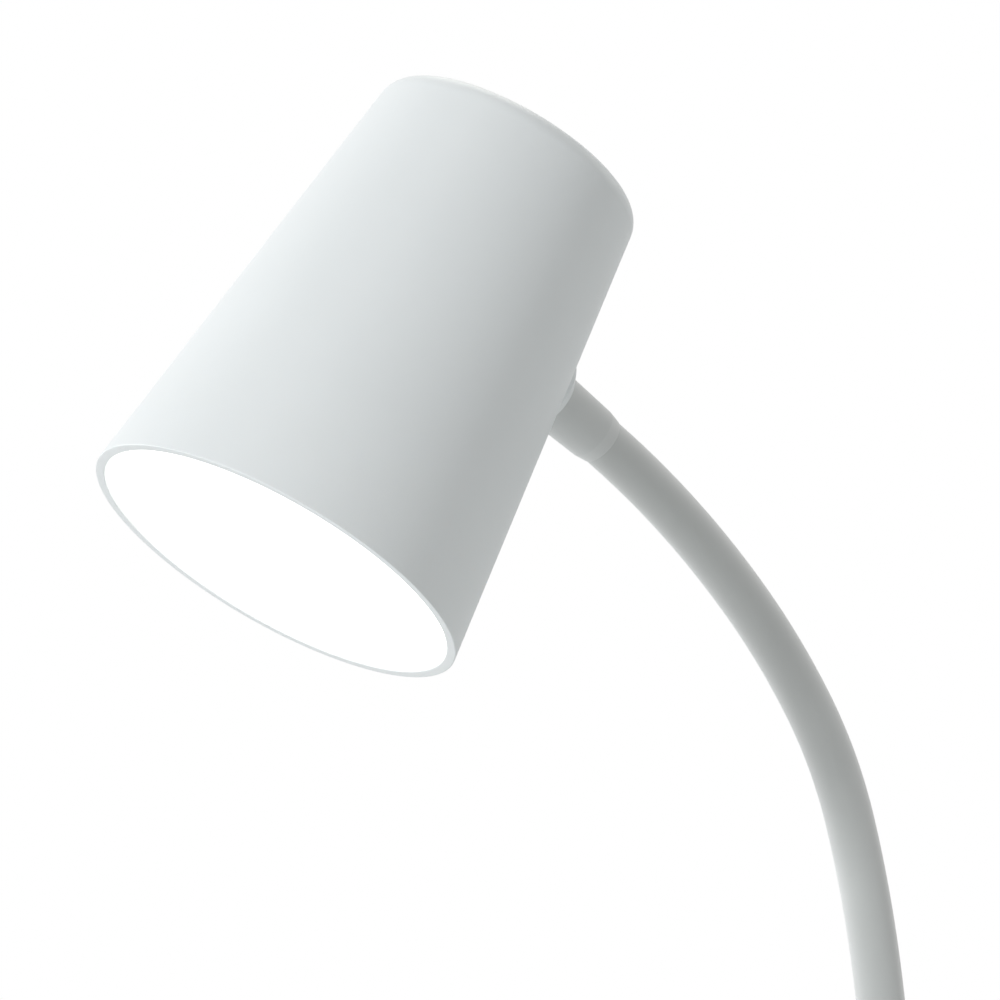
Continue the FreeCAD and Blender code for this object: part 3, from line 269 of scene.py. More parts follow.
class Effects:
    """The shared effects, each a shader group that is built once."""

    NOISE_MIDDLE = 0.5

    def __init__(self) -> None:
        """Build every group."""
        self.grain = self._grain()
        self.mottle = self._mottle()
        self.edges = self._edges()
        self.dust = self._dust()
        self.lines = self._lines()

    @classmethod
    def _grain(cls) -> bpy.types.NodeTree:
        """Fine moulded grain: a height and a roughness that vary a little."""
        noise_share, cell_share, cell_scale = 0.6, 0.4, 0.7
        broad_scale, fine_in_roughness, spread_gain = 55.0, 0.5, 2.0
        made = GroupBuilder("surface_grain")
        made.input("Size", "Float", 0.0004)
        made.input("Roughness", "Float", 0.4)
        made.input("Spread", "Float", 0.05)
        made.output("Height")
        made.output("Roughness")
        scale = made.math("DIVIDE", 1.0, made.given("Size"))
        fine = made.noise(scale, detail=3.0, roughness=0.6)
        cells = made.node("TexVoronoi", feature="SMOOTH_F1")
        made.feed(cells.inputs["Vector"], made.place())
        made.feed(cells.inputs["Scale"], made.math("MULTIPLY", scale, cell_scale))
        made.feed(cells.inputs["Smoothness"], 0.6)
        height = made.math(
            "ADD",
            made.math("MULTIPLY", fine, noise_share),
            made.math("MULTIPLY", cells.outputs["Distance"], cell_share),
        )
        made.hand_out("Height", height)
        broad = made.noise(broad_scale, detail=4.0)
        fine_part = made.math("SUBTRACT", fine, cls.NOISE_MIDDLE)
        both = made.math(
            "ADD",
            made.math("SUBTRACT", broad, cls.NOISE_MIDDLE),
            made.math("MULTIPLY", fine_part, fine_in_roughness),
        )
        spread = made.math("MULTIPLY", made.given("Spread"), spread_gain)
        swing = made.math("MULTIPLY", both, spread)
        rough = made.math("ADD", made.given("Roughness"), swing, clamp=True)
        made.hand_out("Roughness", rough)
        return made.tree

    @staticmethod
    def _mottle() -> bpy.types.NodeTree:
        """Slow variation between two near colours, as moulding and handling leave it.

        The patches cover half of the surface on average, so the tint's mean share is Amount.
        """
        contrast, offset, patch_gain = 2.2, -0.6, 2.0
        made = GroupBuilder("colour_mottle")
        made.input("Colour", "Color", (0.8, 0.8, 0.8, 1))
        made.input("Tint", "Color", (0.7, 0.7, 0.7, 1))
        made.input("Size", "Float", 0.03)
        made.input("Amount", "Float", 0.5)
        made.output("Colour", "Color")
        scale = made.math("DIVIDE", 1.0, made.given("Size"))
        noise = made.noise(scale, detail=5.0, roughness=0.55)
        patches = made.math("MULTIPLY_ADD", noise, contrast, offset, clamp=True)
        amount = made.math("MULTIPLY", made.given("Amount"), patch_gain)
        share = made.math("MULTIPLY", patches, amount)
        made.hand_out("Colour", made.mix(share, made.given("Colour"), made.given("Tint")))
        return made.tree

    @staticmethod
    def _edges() -> bpy.types.NodeTree:
        """Wear: a mask that is high on outer edges and broken up by noise."""
        noise_scale, strength = 420.0, 12.0
        made = GroupBuilder("edge_wear")
        made.input("Width", "Float", 0.0006)
        made.input("Amount", "Float", 0.5)
        made.output("Mask")
        bevel = made.node("Bevel", samples=4)
        made.feed(bevel.inputs["Radius"], made.given("Width"))
        dot = made.node("VectorMath", operation="DOT_PRODUCT")
        made.feed(dot.inputs[0], bevel.outputs[0])
        made.feed(dot.inputs[1], made.node("NewGeometry").outputs["Normal"])
        turned = made.math("SUBTRACT", 1.0, dot.outputs["Value"])
        noise = made.noise(noise_scale, detail=4.0)
        broken = made.math("MULTIPLY", turned, made.math("MULTIPLY", noise, strength))
        mask = made.math("MULTIPLY", broken, made.given("Amount"), clamp=True)
        made.hand_out("Mask", mask)
        return made.tree

    @staticmethod
    def _dust() -> bpy.types.NodeTree:
        """Sparse small specks, more of them on faces that look up."""
        speck_radius, bare_share, half = 0.055, 0.62, 0.5
        made = GroupBuilder("dust_specks")
        made.input("Spacing", "Float", 0.004)
        made.input("Amount", "Float", 0.5)
        made.output("Mask")
        cells = made.node("TexVoronoi")
        made.feed(cells.inputs["Vector"], made.place())
        made.feed(cells.inputs["Scale"], made.math("DIVIDE", 1.0, made.given("Spacing")))
        near = made.math("LESS_THAN", cells.outputs["Distance"], speck_radius)
        parts = made.node("SeparateXYZ")
        made.feed(parts.inputs[0], made.node("NewGeometry").outputs["Normal"])
        upward = made.math("MULTIPLY_ADD", parts.outputs["Z"], half, half)
        chosen = made.math("GREATER_THAN", cells.outputs["Color"], bare_share)
        mask = made.math(
            "MULTIPLY",
            made.math("MULTIPLY", near, chosen),
            made.math("MULTIPLY", upward, made.given("Amount")),
            clamp=True,
        )
        made.hand_out("Mask", mask)
        return made.tree

    @staticmethod
    def _lines() -> bpy.types.NodeTree:
        """Fine lines along one direction, as turning or extrusion leaves them."""
        made = GroupBuilder("fine_lines")
        made.input("Stretch", "Vector", (4000.0, 4000.0, 40.0))
        made.output("Height")
        stretch = made.node("VectorMath", operation="MULTIPLY")
        made.feed(stretch.inputs[0], made.place())
        made.feed(stretch.inputs[1], made.given("Stretch"))
        made.hand_out("Height", made.noise(1.0, detail=2.0, place=stretch.outputs[0]))
        return made.tree


# Finishes


@dataclass(frozen=True)
class Finish:
    """A surface finish: its colours, gloss and fine relief.

    Attributes:
        name: the material's name.
        slot: the record's material slot; not used.
        colour: the main colour.
        tint: the near colour that it varies to.
        roughness: from 0, a mirror, to 1, chalk.
        spread: how much the roughness varies.
        metallic: 1 for bare metal.
        grain: size of the fine grain.
        relief: height of the fine grain.
        mottle_size: size of the patches of tint.
        mottle: the tint's mean share.
        wear: strength of the wear along edges.
        wear_colour: colour of the worn edges.
        dust: strength of the dust.
        dust_colour: colour of the dust.
        coat: strength of a clear coat.
        coat_roughness: roughness of that coat.
        sheen: strength of a soft sheen at the edges.
        sheen_roughness: roughness of that sheen.
        subsurface: how much light goes under the surface.
        subsurface_radius: how far each colour of it goes, as a share of the depth.
        subsurface_depth: how far it goes at most.
        lines: how often fine lines repeat in a metre along each axis, if there are any.
        glow: strength of the light that it gives.
        glow_colour: colour of that light.
    """

    name: str
    slot: str
    colour: Colour
    tint: Colour
    roughness: float
    spread: float = 0.05
    metallic: float = 0.0
    grain: float = 0.0004
    relief: float = 0.00001
    mottle_size: float = 0.03
    mottle: float = 0.5
    wear: float = 0.0
    wear_colour: Colour = (0.9, 0.9, 0.9)
    dust: float = 0.0
    dust_colour: Colour = (0.55, 0.54, 0.52)
    coat: float = 0.0
    coat_roughness: float = 0.03
    sheen: float = 0.0
    sheen_roughness: float = 0.5
    subsurface: float = 0.0
    subsurface_radius: tuple[float, float, float] = (1.0, 0.9, 0.8)
    subsurface_depth: float = 0.002
    lines: tuple[float, float, float] | None = None
    glow: float = 0.0
    glow_colour: Colour = (1.0, 1.0, 1.0)

    def build(self, effects: Effects) -> bpy.types.Material:
        """Make the material.

        Args:
            effects: the shared shader groups.

        Returns:
            The new material.
        """
        material = bpy.data.materials.new(self.name)
        material.use_nodes = True
        nodes = NodeMaker(material.node_tree)
        shader = material.node_tree.nodes["Principled BSDF"]
        colour = nodes.group(
            effects.mottle, Colour=(*self.colour, 1), Tint=(*self.tint, 1),
            Size=self.mottle_size, Amount=self.mottle,
        )
        nodes.feed(shader.inputs["Base Color"], colour.outputs["Colour"])
        if self.wear:
            edges = nodes.group(effects.edges, Amount=self.wear)
            self.paint_over(nodes, shader, self.wear_colour, edges.outputs["Mask"])
        if self.dust:
            dust = nodes.group(effects.dust, Amount=self.dust)
            self.paint_over(nodes, shader, self.dust_colour, dust.outputs["Mask"])
        grain = nodes.group(
            effects.grain, Size=self.grain, Roughness=self.roughness, Spread=self.spread
        )
        nodes.feed(shader.inputs["Roughness"], grain.outputs["Roughness"])
        height = grain.outputs["Height"]
        if self.lines:
            lines = nodes.group(effects.lines, Stretch=self.lines)
            height = nodes.math("ADD", height, lines.outputs["Height"])
        bump = nodes.node("Bump")
        nodes.feed(bump.inputs["Distance"], self.relief)
        nodes.feed(bump.inputs["Strength"], 1.0)
        nodes.feed(bump.inputs["Height"], height)
        nodes.feed(shader.inputs["Normal"], bump.outputs[0])
        self.set_constants(shader)
        self.adjust(nodes, shader)
        return material

    def set_constants(self, shader: bpy.types.Node) -> None:
        """Set the shader's plain values.

        Args:
            shader: the material's shader.
        """
        constants = {
            "Metallic": self.metallic,
            "Coat Weight": self.coat,
            "Coat Roughness": self.coat_roughness,
            "Sheen Weight": self.sheen,
            "Sheen Roughness": self.sheen_roughness,
            "Subsurface Weight": self.subsurface,
            "Subsurface Radius": self.subsurface_radius,
            "Subsurface Scale": self.subsurface_depth,
            "Emission Color": (*self.glow_colour, 1),
            "Emission Strength": self.glow,
        }
        for name, value in constants.items():
            shader.inputs[name].default_value = value

    def adjust(self, nodes: NodeMaker, shader: bpy.types.Node) -> None:
        """Add what only this finish has; a plain finish has nothing to add.

        Args:
            nodes: the material's nodes.
            shader: its shader.
        """

    @staticmethod
    def paint_over(
        nodes: NodeMaker, shader: bpy.types.Node, colour: Colour, mask: Socket
    ) -> None:
        """Lay a colour over the base colour so far.

        Args:
            nodes: the material's nodes.
            shader: its shader.
            colour: the colour on top.
            mask: where it shows.
        """
        base = shader.inputs["Base Color"]
        nodes.feed(base, nodes.mix(mask, base.links[0].from_socket, colour))


@dataclass(frozen=True)
class PairedWires(Finish):
    """Wire insulation in two colours, one on each side of the lamp's middle.

    Attributes:
        other: the second colour.
    """

    other: Colour = (0.02, 0.02, 0.02)

    def adjust(self, nodes: NodeMaker, shader: bpy.types.Node) -> None:
        """Colour the wires by the side that they lie on.

        Args:
            nodes: the material's nodes.
            shader: its shader.
        """
        parts = nodes.node("SeparateXYZ")
        nodes.feed(parts.inputs[0], nodes.place())
        side = nodes.math("GREATER_THAN", parts.outputs["Y"], 0.0)
        self.paint_over(nodes, shader, self.other, side)


@dataclass(frozen=True)
class CircuitBoard(Finish):
    """A coated board with fine tracks that show through the coat.

    Attributes:
        track: the tracks' colour.
        cells: how many of the tracks' cells fit in a metre.
        irregularity: from 0, a grid, to 1, random cells.
        threshold: how much of each cell is track.
    """

    track: Colour = (0.1, 0.36, 0.18)
    cells: float = 260.0
    irregularity: float = 0.8
    threshold: float = 0.42

    def adjust(self, nodes: NodeMaker, shader: bpy.types.Node) -> None:
        """Draw square tracks under the coat.

        Args:
            nodes: the material's nodes.
            shader: its shader.
        """
        cells = nodes.node("TexVoronoi", distance="CHEBYCHEV", feature="F2")
        nodes.feed(cells.inputs["Vector"], nodes.place())
        nodes.feed(cells.inputs["Scale"], self.cells)
        nodes.feed(cells.inputs["Randomness"], self.irregularity)
        line = nodes.math("LESS_THAN", cells.outputs["Distance"], self.threshold)
        self.paint_over(nodes, shader, self.track, line)


@dataclass(frozen=True)
class OpalDiffuser(Finish):
    """An opal disc that is lit from behind, a little brighter over the light chips.

    Attributes:
        centre: the middle of the disc.
        even_radius: how far from there the glow stays the same.
        edge_radius: where it is weakest.
        edge_colour: the glow's colour where there is no light chip behind.
        edge_share: how far the glow goes towards that colour at the edge.
    """

    centre: tuple[float, float, float] = (-0.18215, 0.0, 0.28922)
    even_radius: float = 20 * MM
    edge_radius: float = 48 * MM
    edge_colour: Colour = (0.9, 0.8, 0.6)
    edge_share: float = 0.12

    def adjust(self, nodes: NodeMaker, shader: bpy.types.Node) -> None:
        """Let the glow fall off gently towards the disc's edge.

        Args:
            nodes: the material's nodes.
            shader: its shader.
        """
        away = nodes.node("VectorMath", operation="DISTANCE")
        nodes.feed(away.inputs[0], nodes.place())
        nodes.feed(away.inputs[1], self.centre)
        fall = nodes.node("MapRange")
        nodes.feed(fall.inputs["Value"], away.outputs["Value"])
        nodes.feed(fall.inputs["From Min"], self.even_radius)
        nodes.feed(fall.inputs["From Max"], self.edge_radius)
        nodes.feed(fall.inputs["To Min"], 0.0)
        nodes.feed(fall.inputs["To Max"], self.edge_share)
        glow = nodes.mix(fall.outputs[0], self.glow_colour, self.edge_colour)
        nodes.feed(shader.inputs["Emission Color"], glow)


SHADE_WHITE = Finish(
    "moulded_white", "shade_white", (0.79, 0.822, 0.826), (0.765, 0.797, 0.801), 0.42,
    grain=0.00035, relief=0.000004, mottle=0.35, wear=0.10, wear_colour=(0.88, 0.88, 0.87),
    dust=0.05, subsurface=0.04,
)
OPAL = OpalDiffuser(
    "opal_diffuser", "diffuser_opal", (0.93, 0.92, 0.9), (0.9, 0.9, 0.88), 0.35,
    grain=0.0003, relief=0.000003, mottle=0.3, glow=1.6, glow_colour=(1.0, 0.985, 0.95),
)
SLEEVE = Finish(
    "soft_sleeve", "sleeve_grey", (0.385, 0.411, 0.396), (0.36, 0.385, 0.371), 0.55,
    spread=0.07, grain=0.0005, relief=0.00001, mottle_size=0.012, mottle=0.45,
    dust=0.12, coat=0.6, coat_roughness=0.4, sheen=1.0, sheen_roughness=0.88,
)
FERRULE = Finish(
    "ferrule_satin", "ferrule_grey", (0.50, 0.526, 0.514), (0.47, 0.495, 0.483), 0.5,
    grain=0.0003, relief=0.000004, mottle=0.4, wear=0.2, wear_colour=(0.6, 0.61, 0.61),
    sheen=1.0, sheen_roughness=0.85,
)
STEEL = Finish(
    "plated_steel", "steel", (0.56, 0.57, 0.58), (0.44, 0.45, 0.47), 0.3,
    metallic=1.0, grain=0.0002, relief=0.000004, mottle_size=0.006, mottle=0.6,
    wear=0.4, wear_colour=(0.75, 0.75, 0.74), lines=(900.0, 900.0, 9000.0),
)
CABLE = Finish(
    "cable_jacket", "cable_white", (0.78, 0.77, 0.74), (0.7, 0.69, 0.66), 0.45,
    grain=0.0003, relief=0.000005, mottle=0.4,
)
WIRES = PairedWires(
    "wire_insulation", "wire_red_black", (0.45, 0.03, 0.025), (0.38, 0.02, 0.02), 0.35,
    grain=0.0003, relief=0.000004, mottle=0.4,
)
ALUMINIUM = Finish(
    "cast_aluminium", "sink_aluminium", (0.72, 0.73, 0.74), (0.6, 0.61, 0.63), 0.42,
    metallic=1.0, grain=0.0003, relief=0.00001, mottle_size=0.01, mottle=0.6,
    wear=0.3, wear_colour=(0.85, 0.85, 0.86),
)
LED_BOARD = Finish(
    "white_board", "led_board_white", (0.84, 0.84, 0.83), (0.8, 0.8, 0.78), 0.3,
    grain=0.0004, relief=0.000003, mottle=0.3, coat=0.4,
)
PHOSPHOR = Finish(
    "phosphor", "led_phosphor", (0.86, 0.62, 0.14), (0.8, 0.52, 0.08), 0.35,
    grain=0.0002, relief=0.000004, mottle_size=0.001, mottle=0.6, glow=2.0,
    glow_colour=(1.0, 0.93, 0.8),
)
CAST_IRON = Finish(
    "raw_cast_iron", "ballast_iron", (0.09, 0.09, 0.095), (0.14, 0.11, 0.09), 0.7,
    spread=0.12, metallic=0.6, grain=0.0009, relief=0.00012, mottle_size=0.012,
    mottle=0.8, wear=0.5, wear_colour=(0.3, 0.29, 0.28),
)
PAD = Finish(
    "foam_pad", "pad_rubber", (0.035, 0.035, 0.036), (0.055, 0.054, 0.052), 0.85,
    spread=0.08, grain=0.0006, relief=0.00008, mottle_size=0.01, mottle=0.6, dust=0.5,
)
BOARD = CircuitBoard(
    "green_board", "board_green", (0.03, 0.2, 0.08), (0.025, 0.16, 0.065), 0.28,
    grain=0.0003, relief=0.000006, mottle=0.4, coat=0.5,
)
BLACK_PARTS = Finish(
    "black_cases", "part_black", (0.03, 0.03, 0.032), (0.045, 0.045, 0.045), 0.4,
    grain=0.0003, relief=0.000012, mottle=0.5, wear=0.3, wear_colour=(0.12, 0.12, 0.12),
)
JACK = Finish(
    "black_housing", "jack_black", (0.028, 0.028, 0.03), (0.045, 0.045, 0.046), 0.32,
    grain=0.0003, relief=0.000008, mottle=0.5, wear=0.3, wear_colour=(0.12, 0.12, 0.12),
)
PIN = Finish(
    "nickel_pin", "pin_nickel", (0.7, 0.67, 0.58), (0.6, 0.57, 0.5), 0.2,
    metallic=1.0, grain=0.0002, relief=0.000002, mottle_size=0.003, mottle=0.5,
)
BUTTON = Finish(
    "button_satin", "button_grey", (0.66, 0.675, 0.67), (0.62, 0.635, 0.63), 0.45,
    grain=0.0004, relief=0.000008, mottle=0.4, wear=0.2, wear_colour=(0.78, 0.78, 0.77),
)

NODE_FINISHES: dict[str, Finish] = {
    "shade": SHADE_WHITE,
    "base_cover": SHADE_WHITE,
    "diffuser": OPAL,
    "heat_sink": ALUMINIUM,
    "heat_sink_screws": STEEL,
    "led_board": LED_BOARD,
    "led_chips": PHOSPHOR,
    "head_ferrule": FERRULE,
    "head_washer": STEEL,
    "head_nut": STEEL,
    "head_wires": WIRES,
    "neck_core": STEEL,
    "neck_sleeve": SLEEVE,
    "neck_cable": CABLE,
    "base_ferrule": FERRULE,
    "base_washer": STEEL,
    "base_nut": STEEL,
    "base_wires": WIRES,
    "base_plate": STEEL,
    "ballast": CAST_IRON,
    "foot_pad": PAD,
    "switch_body": BLACK_PARTS,
    "switch_plunger": BLACK_PARTS,
    "switch_spring": STEEL,
    "switch_board": BOARD,
    "button_cap": BUTTON,
    "driver_board": BOARD,
    "driver_parts": BLACK_PARTS,
    "dc_jack": JACK,
    "dc_jack_pin": PIN,
    "cover_screws": STEEL,
    "board_screws": STEEL,
}


class Palette:
    """Every finish as a material, each built once."""

    def __init__(self) -> None:
        """Build the shared effects; materials follow as they are asked for."""
        self.effects = Effects()
        self.made: dict[str, bpy.types.Material] = {}

    def material(self, finish: Finish) -> bpy.types.Material:
        """The material of a finish."""
        if finish.name not in self.made:
            self.made[finish.name] = finish.build(self.effects)
        return self.made[finish.name]

    def dress(self, obj: bpy.types.Object, finish: Finish) -> None:
        """Give an object a finish in all of its material slots.

        Args:
            obj: the object.
            finish: its finish.
        """
        material = self.material(finish)
        if not obj.data.materials:
            obj.data.materials.append(material)
        for index in range(len(obj.data.materials)):
            obj.data.materials[index] = material

    def dress_node(self, name: str, obj: bpy.types.Object) -> None:
        """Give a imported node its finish.

        Args:
            name: the node's name; the neck's nodes end in a number, which is left off.
            obj: the node's object.
        """
        finish = NODE_FINISHES[name.rstrip("0123456789").rstrip("_")]
        self.dress(obj, finish)
        LOG.info("node %s: %s", name, finish.name)


# Mesh helpers


SHARP_ANGLE = math.radians(40)


def new_object(name: str, mesh: bmesh.types.BMesh) -> bpy.types.Object:
    """Turn a finished bmesh into an object that is smooth but for its sharp edges.

    Args:
        name: the object's name.
        mesh: its geometry, which is freed.

    Returns:
        The new object.
    """
    bmesh.ops.recalc_face_normals(mesh, faces=mesh.faces)
    for face in mesh.faces:
        face.smooth = True
    for edge in mesh.edges:
        if len(edge.link_faces) == 2 and edge.calc_face_angle(0.0) > SHARP_ANGLE:
            edge.smooth = False
    data = bpy.data.meshes.new(name)
    mesh.to_mesh(data)
    mesh.free()
    made = bpy.data.objects.new(name, data)
    bpy.context.scene.collection.objects.link(made)
    return made


def add_ring(
    mesh: bmesh.types.BMesh,
    centre: Vector,
    first: Vector,
    second: Vector,
    radius: float,
    sides: int,
) -> Ring:
    """Add a ring of vertices to a mesh.

    Args:
        mesh: the mesh.
        centre: the ring's middle.
        first: the direction of its first vertex.
        second: the direction a quarter turn further on.
        radius: its radius.
        sides: the number of its vertices.

    Returns:
        The vertices in order.
    """
    made = []
    for side in range(sides):
        angle = math.tau * side / sides
        offset = first * math.cos(angle) + second * math.sin(angle)
        made.append(mesh.verts.new(centre + offset * radius))
    return made


def bridge(mesh: bmesh.types.BMesh, low: Ring, high: Ring) -> None:
    """Join two rings of the same length with faces.

    Args:
        mesh: the mesh that both rings are in.
        low: the first ring.
        high: the second ring, in the same order.
    """
    count = len(low)
    for index in range(count):
        after = (index + 1) % count
        mesh.faces.new((low[index], low[after], high[after], high[index]))


# The lamp's own shapes


@dataclass(frozen=True)
class Head:
    """Where the head is at rest, worked out from the neck's last joint.

    Attributes:
        last_joint: the neck's last joint.
        tilt: how far the shade leans back from upright.
        stub: from that joint to the boss's outer face.
        reach: from the boss's outer face to the shade's axis.
        height: from the shade's mouth to the boss's axis, along the shade's own.
    """

    last_joint: Vector
    tilt: float = math.radians(34.8)
    stub: float = 31.4 * MM
    reach: float = 44.6 * MM
    height: float = 80 * MM

    @property
    def outward(self) -> Vector:
        """The direction from the shade's axis to its boss."""
        return Vector((math.cos(self.tilt), 0, -math.sin(self.tilt)))

    @property
    def upward(self) -> Vector:
        """The direction along the shade's axis, from the mouth to the closed top."""
        return Vector((math.sin(self.tilt), 0, math.cos(self.tilt)))

    @property
    def face(self) -> Vector:
        """The middle of the boss's outer face."""
        return self.last_joint - self.outward * self.stub

    @property
    def mouth(self) -> Vector:
        """The middle of the shade's open mouth."""
        return self.face - self.outward * self.reach - self.upward * self.height


class NeckPart(Enum):
    """Which stretch of the neck a piece of sleeve covers."""

    BASE_STUB = "base_stub"
    JOINT = "joint"
    HEAD_STUB = "head_stub"


@dataclass
class NeckSleeve:
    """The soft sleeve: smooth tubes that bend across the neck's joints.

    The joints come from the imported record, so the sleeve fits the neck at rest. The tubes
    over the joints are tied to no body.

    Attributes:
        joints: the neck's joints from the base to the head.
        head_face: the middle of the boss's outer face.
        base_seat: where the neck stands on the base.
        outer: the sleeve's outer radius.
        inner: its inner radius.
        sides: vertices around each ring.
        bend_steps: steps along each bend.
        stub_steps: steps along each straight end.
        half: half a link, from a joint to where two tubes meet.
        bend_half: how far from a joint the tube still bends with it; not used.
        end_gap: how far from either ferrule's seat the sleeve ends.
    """

    joints: list[Vector]
    head_face: Vector
    base_seat: Vector = field(default_factory=lambda: Vector((0, 0, 26 * MM)))
    outer: float = 6.2 * MM
    inner: float = 5.5 * MM
    sides: int = 64
    bend_steps: int = 40
    stub_steps: int = 13
    half: float = 16 * MM
    bend_half: float = 13 * MM
    end_gap: float = 2.7 * MM

    def beside(self, index: int, back: bool, away: float) -> Vector:
        """A point on the neck's line before or after a joint.

        Args:
            index: the joint's number, from 0.
            back: whether the point is on the base's side.
            away: its distance from the joint.

        Returns:
            The point.
        """
        line = [self.base_seat, *self.joints, self.head_face]
        here, other = self.joints[index], line[index if back else index + 2]
        return here + (other - here).normalized() * away

    def middle(self, index: int, back: bool) -> Vector:
        """The point half a link before or after a joint, where the sleeve's tubes meet."""
        return self.beside(index, back, self.half)

    def curve(self, index: int) -> list[tuple[Vector, Vector]]:
        """Points and directions along the smooth bend over a joint.

        Args:
            index: the joint's number, from 0.

        Returns:
            The centre and the direction of each ring.
        """
        corner = self.joints[index]
        first, last = self.middle(index, True), self.middle(index, False)
        found = []
        for step in range(self.bend_steps + 1):
            t = step / self.bend_steps
            centre = first * (1 - t) ** 2 + corner * (2 * t * (1 - t)) + last * t ** 2
            along = (corner - first) * (1 - t) + (last - corner) * t
            found.append((centre, along.normalized()))
        return found

    def straight(self, start: Vector, end: Vector) -> list[tuple[Vector, Vector]]:
        """Points and directions along a straight stretch.

        Args:
            start: where it starts.
            end: where it ends.

        Returns:
            The centre and the direction of each ring.
        """
        along = (end - start).normalized()
        count = self.stub_steps
        return [(start.lerp(end, step / count), along) for step in range(count + 1)]

    def tube(self, name: str, path: list[tuple[Vector, Vector]]) -> bpy.types.Object:
        """A tube with a wall around a path in the lamp's middle plane.

        Args:
            name: the piece's name.
            path: centre and direction of each ring.

        Returns:
            The new object.
        """
        mesh = bmesh.new()
        walls = []
        for radius in (self.outer, self.inner):
            rings = []
            for centre, along in path:
                across = Y_AXIS.cross(along).normalized()
                rings.append(add_ring(mesh, centre, Y_AXIS, across, radius, self.sides))
            walls.append(rings)
        for rings in walls:
            for low, high in zip(rings, rings[1:]):
                bridge(mesh, low, high)
        outside, inside = walls
        for end in (0, -1):
            bridge(mesh, outside[end], inside[end])
        return new_object(name, mesh)

    def build(self, palette: Palette, bodies: list[str]) -> None:
        """Make every tube and tie the two straight end tubes to their bodies.

        Args:
            palette: the materials.
            bodies: the neck's bodies in order, from the base to the head.
        """
        last = len(self.joints) - 1
        low = self.base_seat + Z_AXIS * self.end_gap
        base_stub = self.tube("sleeve_base_stub", self.straight(low, self.middle(0, True)))
        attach(base_stub, bodies[0])
        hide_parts("neck_sleeve_0")
        self._finish(base_stub, palette, NeckPart.BASE_STUB)
        for index in range(len(self.joints)):
            piece = self.tube(f"sleeve_bend_{index + 1}", self.curve(index))
            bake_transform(piece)
            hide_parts(f"neck_sleeve_{index + 1}")
            self._finish(piece, palette, NeckPart.JOINT)
        inward = (self.joints[last] - self.head_face).normalized()
        top = self.head_face + inward * self.end_gap
        head_stub = self.tube("sleeve_head_stub", self.straight(self.middle(last, False), top))
        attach(head_stub, bodies[-1])
        self._finish(head_stub, palette, NeckPart.HEAD_STUB)

    @staticmethod
    def _finish(piece: bpy.types.Object, palette: Palette, part: NeckPart) -> None:
        """Dress one tube and report it.

        Args:
            piece: the tube.
            palette: the materials.
            part: which stretch of the neck it covers.
        """
        palette.dress(piece, SLEEVE)
        LOG.info("sleeve %s (%s)", piece.name, part.value)


@dataclass
class ReturnSpring:
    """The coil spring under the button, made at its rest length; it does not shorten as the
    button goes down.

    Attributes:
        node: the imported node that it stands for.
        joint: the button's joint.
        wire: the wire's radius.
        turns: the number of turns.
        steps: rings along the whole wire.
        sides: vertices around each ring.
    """

    node: str = "switch_spring"
    joint: str = "button_press"
    wire: float = 0.2 * MM
    turns: float = 3.0
    steps: int = 108
    sides: int = 12

    def coil(self, low: Vector, high: Vector) -> bpy.types.Object:
        """The wound wire, as wide and high as the spring's node.

        Args:
            low: the node's lowest corner.
            high: its highest corner.

        Returns:
            The new object.
        """
        radius = (high.x - low.x) / 2 - self.wire
        rise = high.z - low.z - 2 * self.wire
        foot = Vector(((low.x + high.x) / 2, (low.y + high.y) / 2, low.z + self.wire))
        mesh = bmesh.new()
        rings = []
        for step in range(self.steps + 1):
            share = step / self.steps
            turned = math.tau * self.turns * share
            outward = Vector((math.cos(turned), math.sin(turned), 0))
            forward = Z_AXIS.cross(outward) * (math.tau * self.turns * radius)
            upward = outward.cross((forward + Z_AXIS * rise).normalized())
            centre = foot + outward * radius + Z_AXIS * (rise * share)
            rings.append(add_ring(mesh, centre, outward, upward, self.wire, self.sides))
        for first, second in zip(rings, rings[1:]):
            bridge(mesh, first, second)
        for end in (rings[0], rings[-1]):
            mesh.faces.new(end)
        return new_object("return_spring", mesh)

    def build(self, palette: Palette, joints: list[dict]) -> None:
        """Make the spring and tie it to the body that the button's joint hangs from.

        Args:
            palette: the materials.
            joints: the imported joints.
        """
        press = next(joint for joint in joints if joint["name"] == self.joint)
        low, high = (Vector(corner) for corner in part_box(self.node))
        piece = self.coil(low, high)
        palette.dress(piece, STEEL)
        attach(piece, press["parent"])
        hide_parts(self.node)
        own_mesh(piece)


# Studio


class Light(Enum):
    """The studio's soft lamps."""

    KEY = "key"
    LEFT = "left"
    TOP = "top"
    RIGHT = "right"
    BACK = "back"


@dataclass(frozen=True)
class Softbox:
    """A soft square lamp that looks at the desk lamp's head.

    Attributes:
        kind: which lamp it is.
        power: in watts.
        size: length of its side.
        azimuth: angle to the right of the camera, seen from the head, in degrees.
        height: angle above the head, in degrees.
        colour: the light's colour.
    """

    kind: Light
    power: float
    size: float
    azimuth: float
    height: float
    colour: Colour = (1.0, 1.0, 1.0)


COOL = (0.986, 0.995, 1.008)
WARM = (1.0, 1.0, 0.96)
SOFTBOXES = (
    Softbox(Light.KEY, 15.2, 0.3, -42.0, 18.0, COOL),
    Softbox(Light.LEFT, 8.8, 1.0, -112.0, 12.0, COOL),
    Softbox(Light.TOP, 3.8, 1.0, 0.0, 80.0),
    Softbox(Light.RIGHT, 3.2, 1.0, 118.0, 25.0, WARM),
    Softbox(Light.BACK, 7.6, 1.0, 170.0, 50.0, WARM),
)


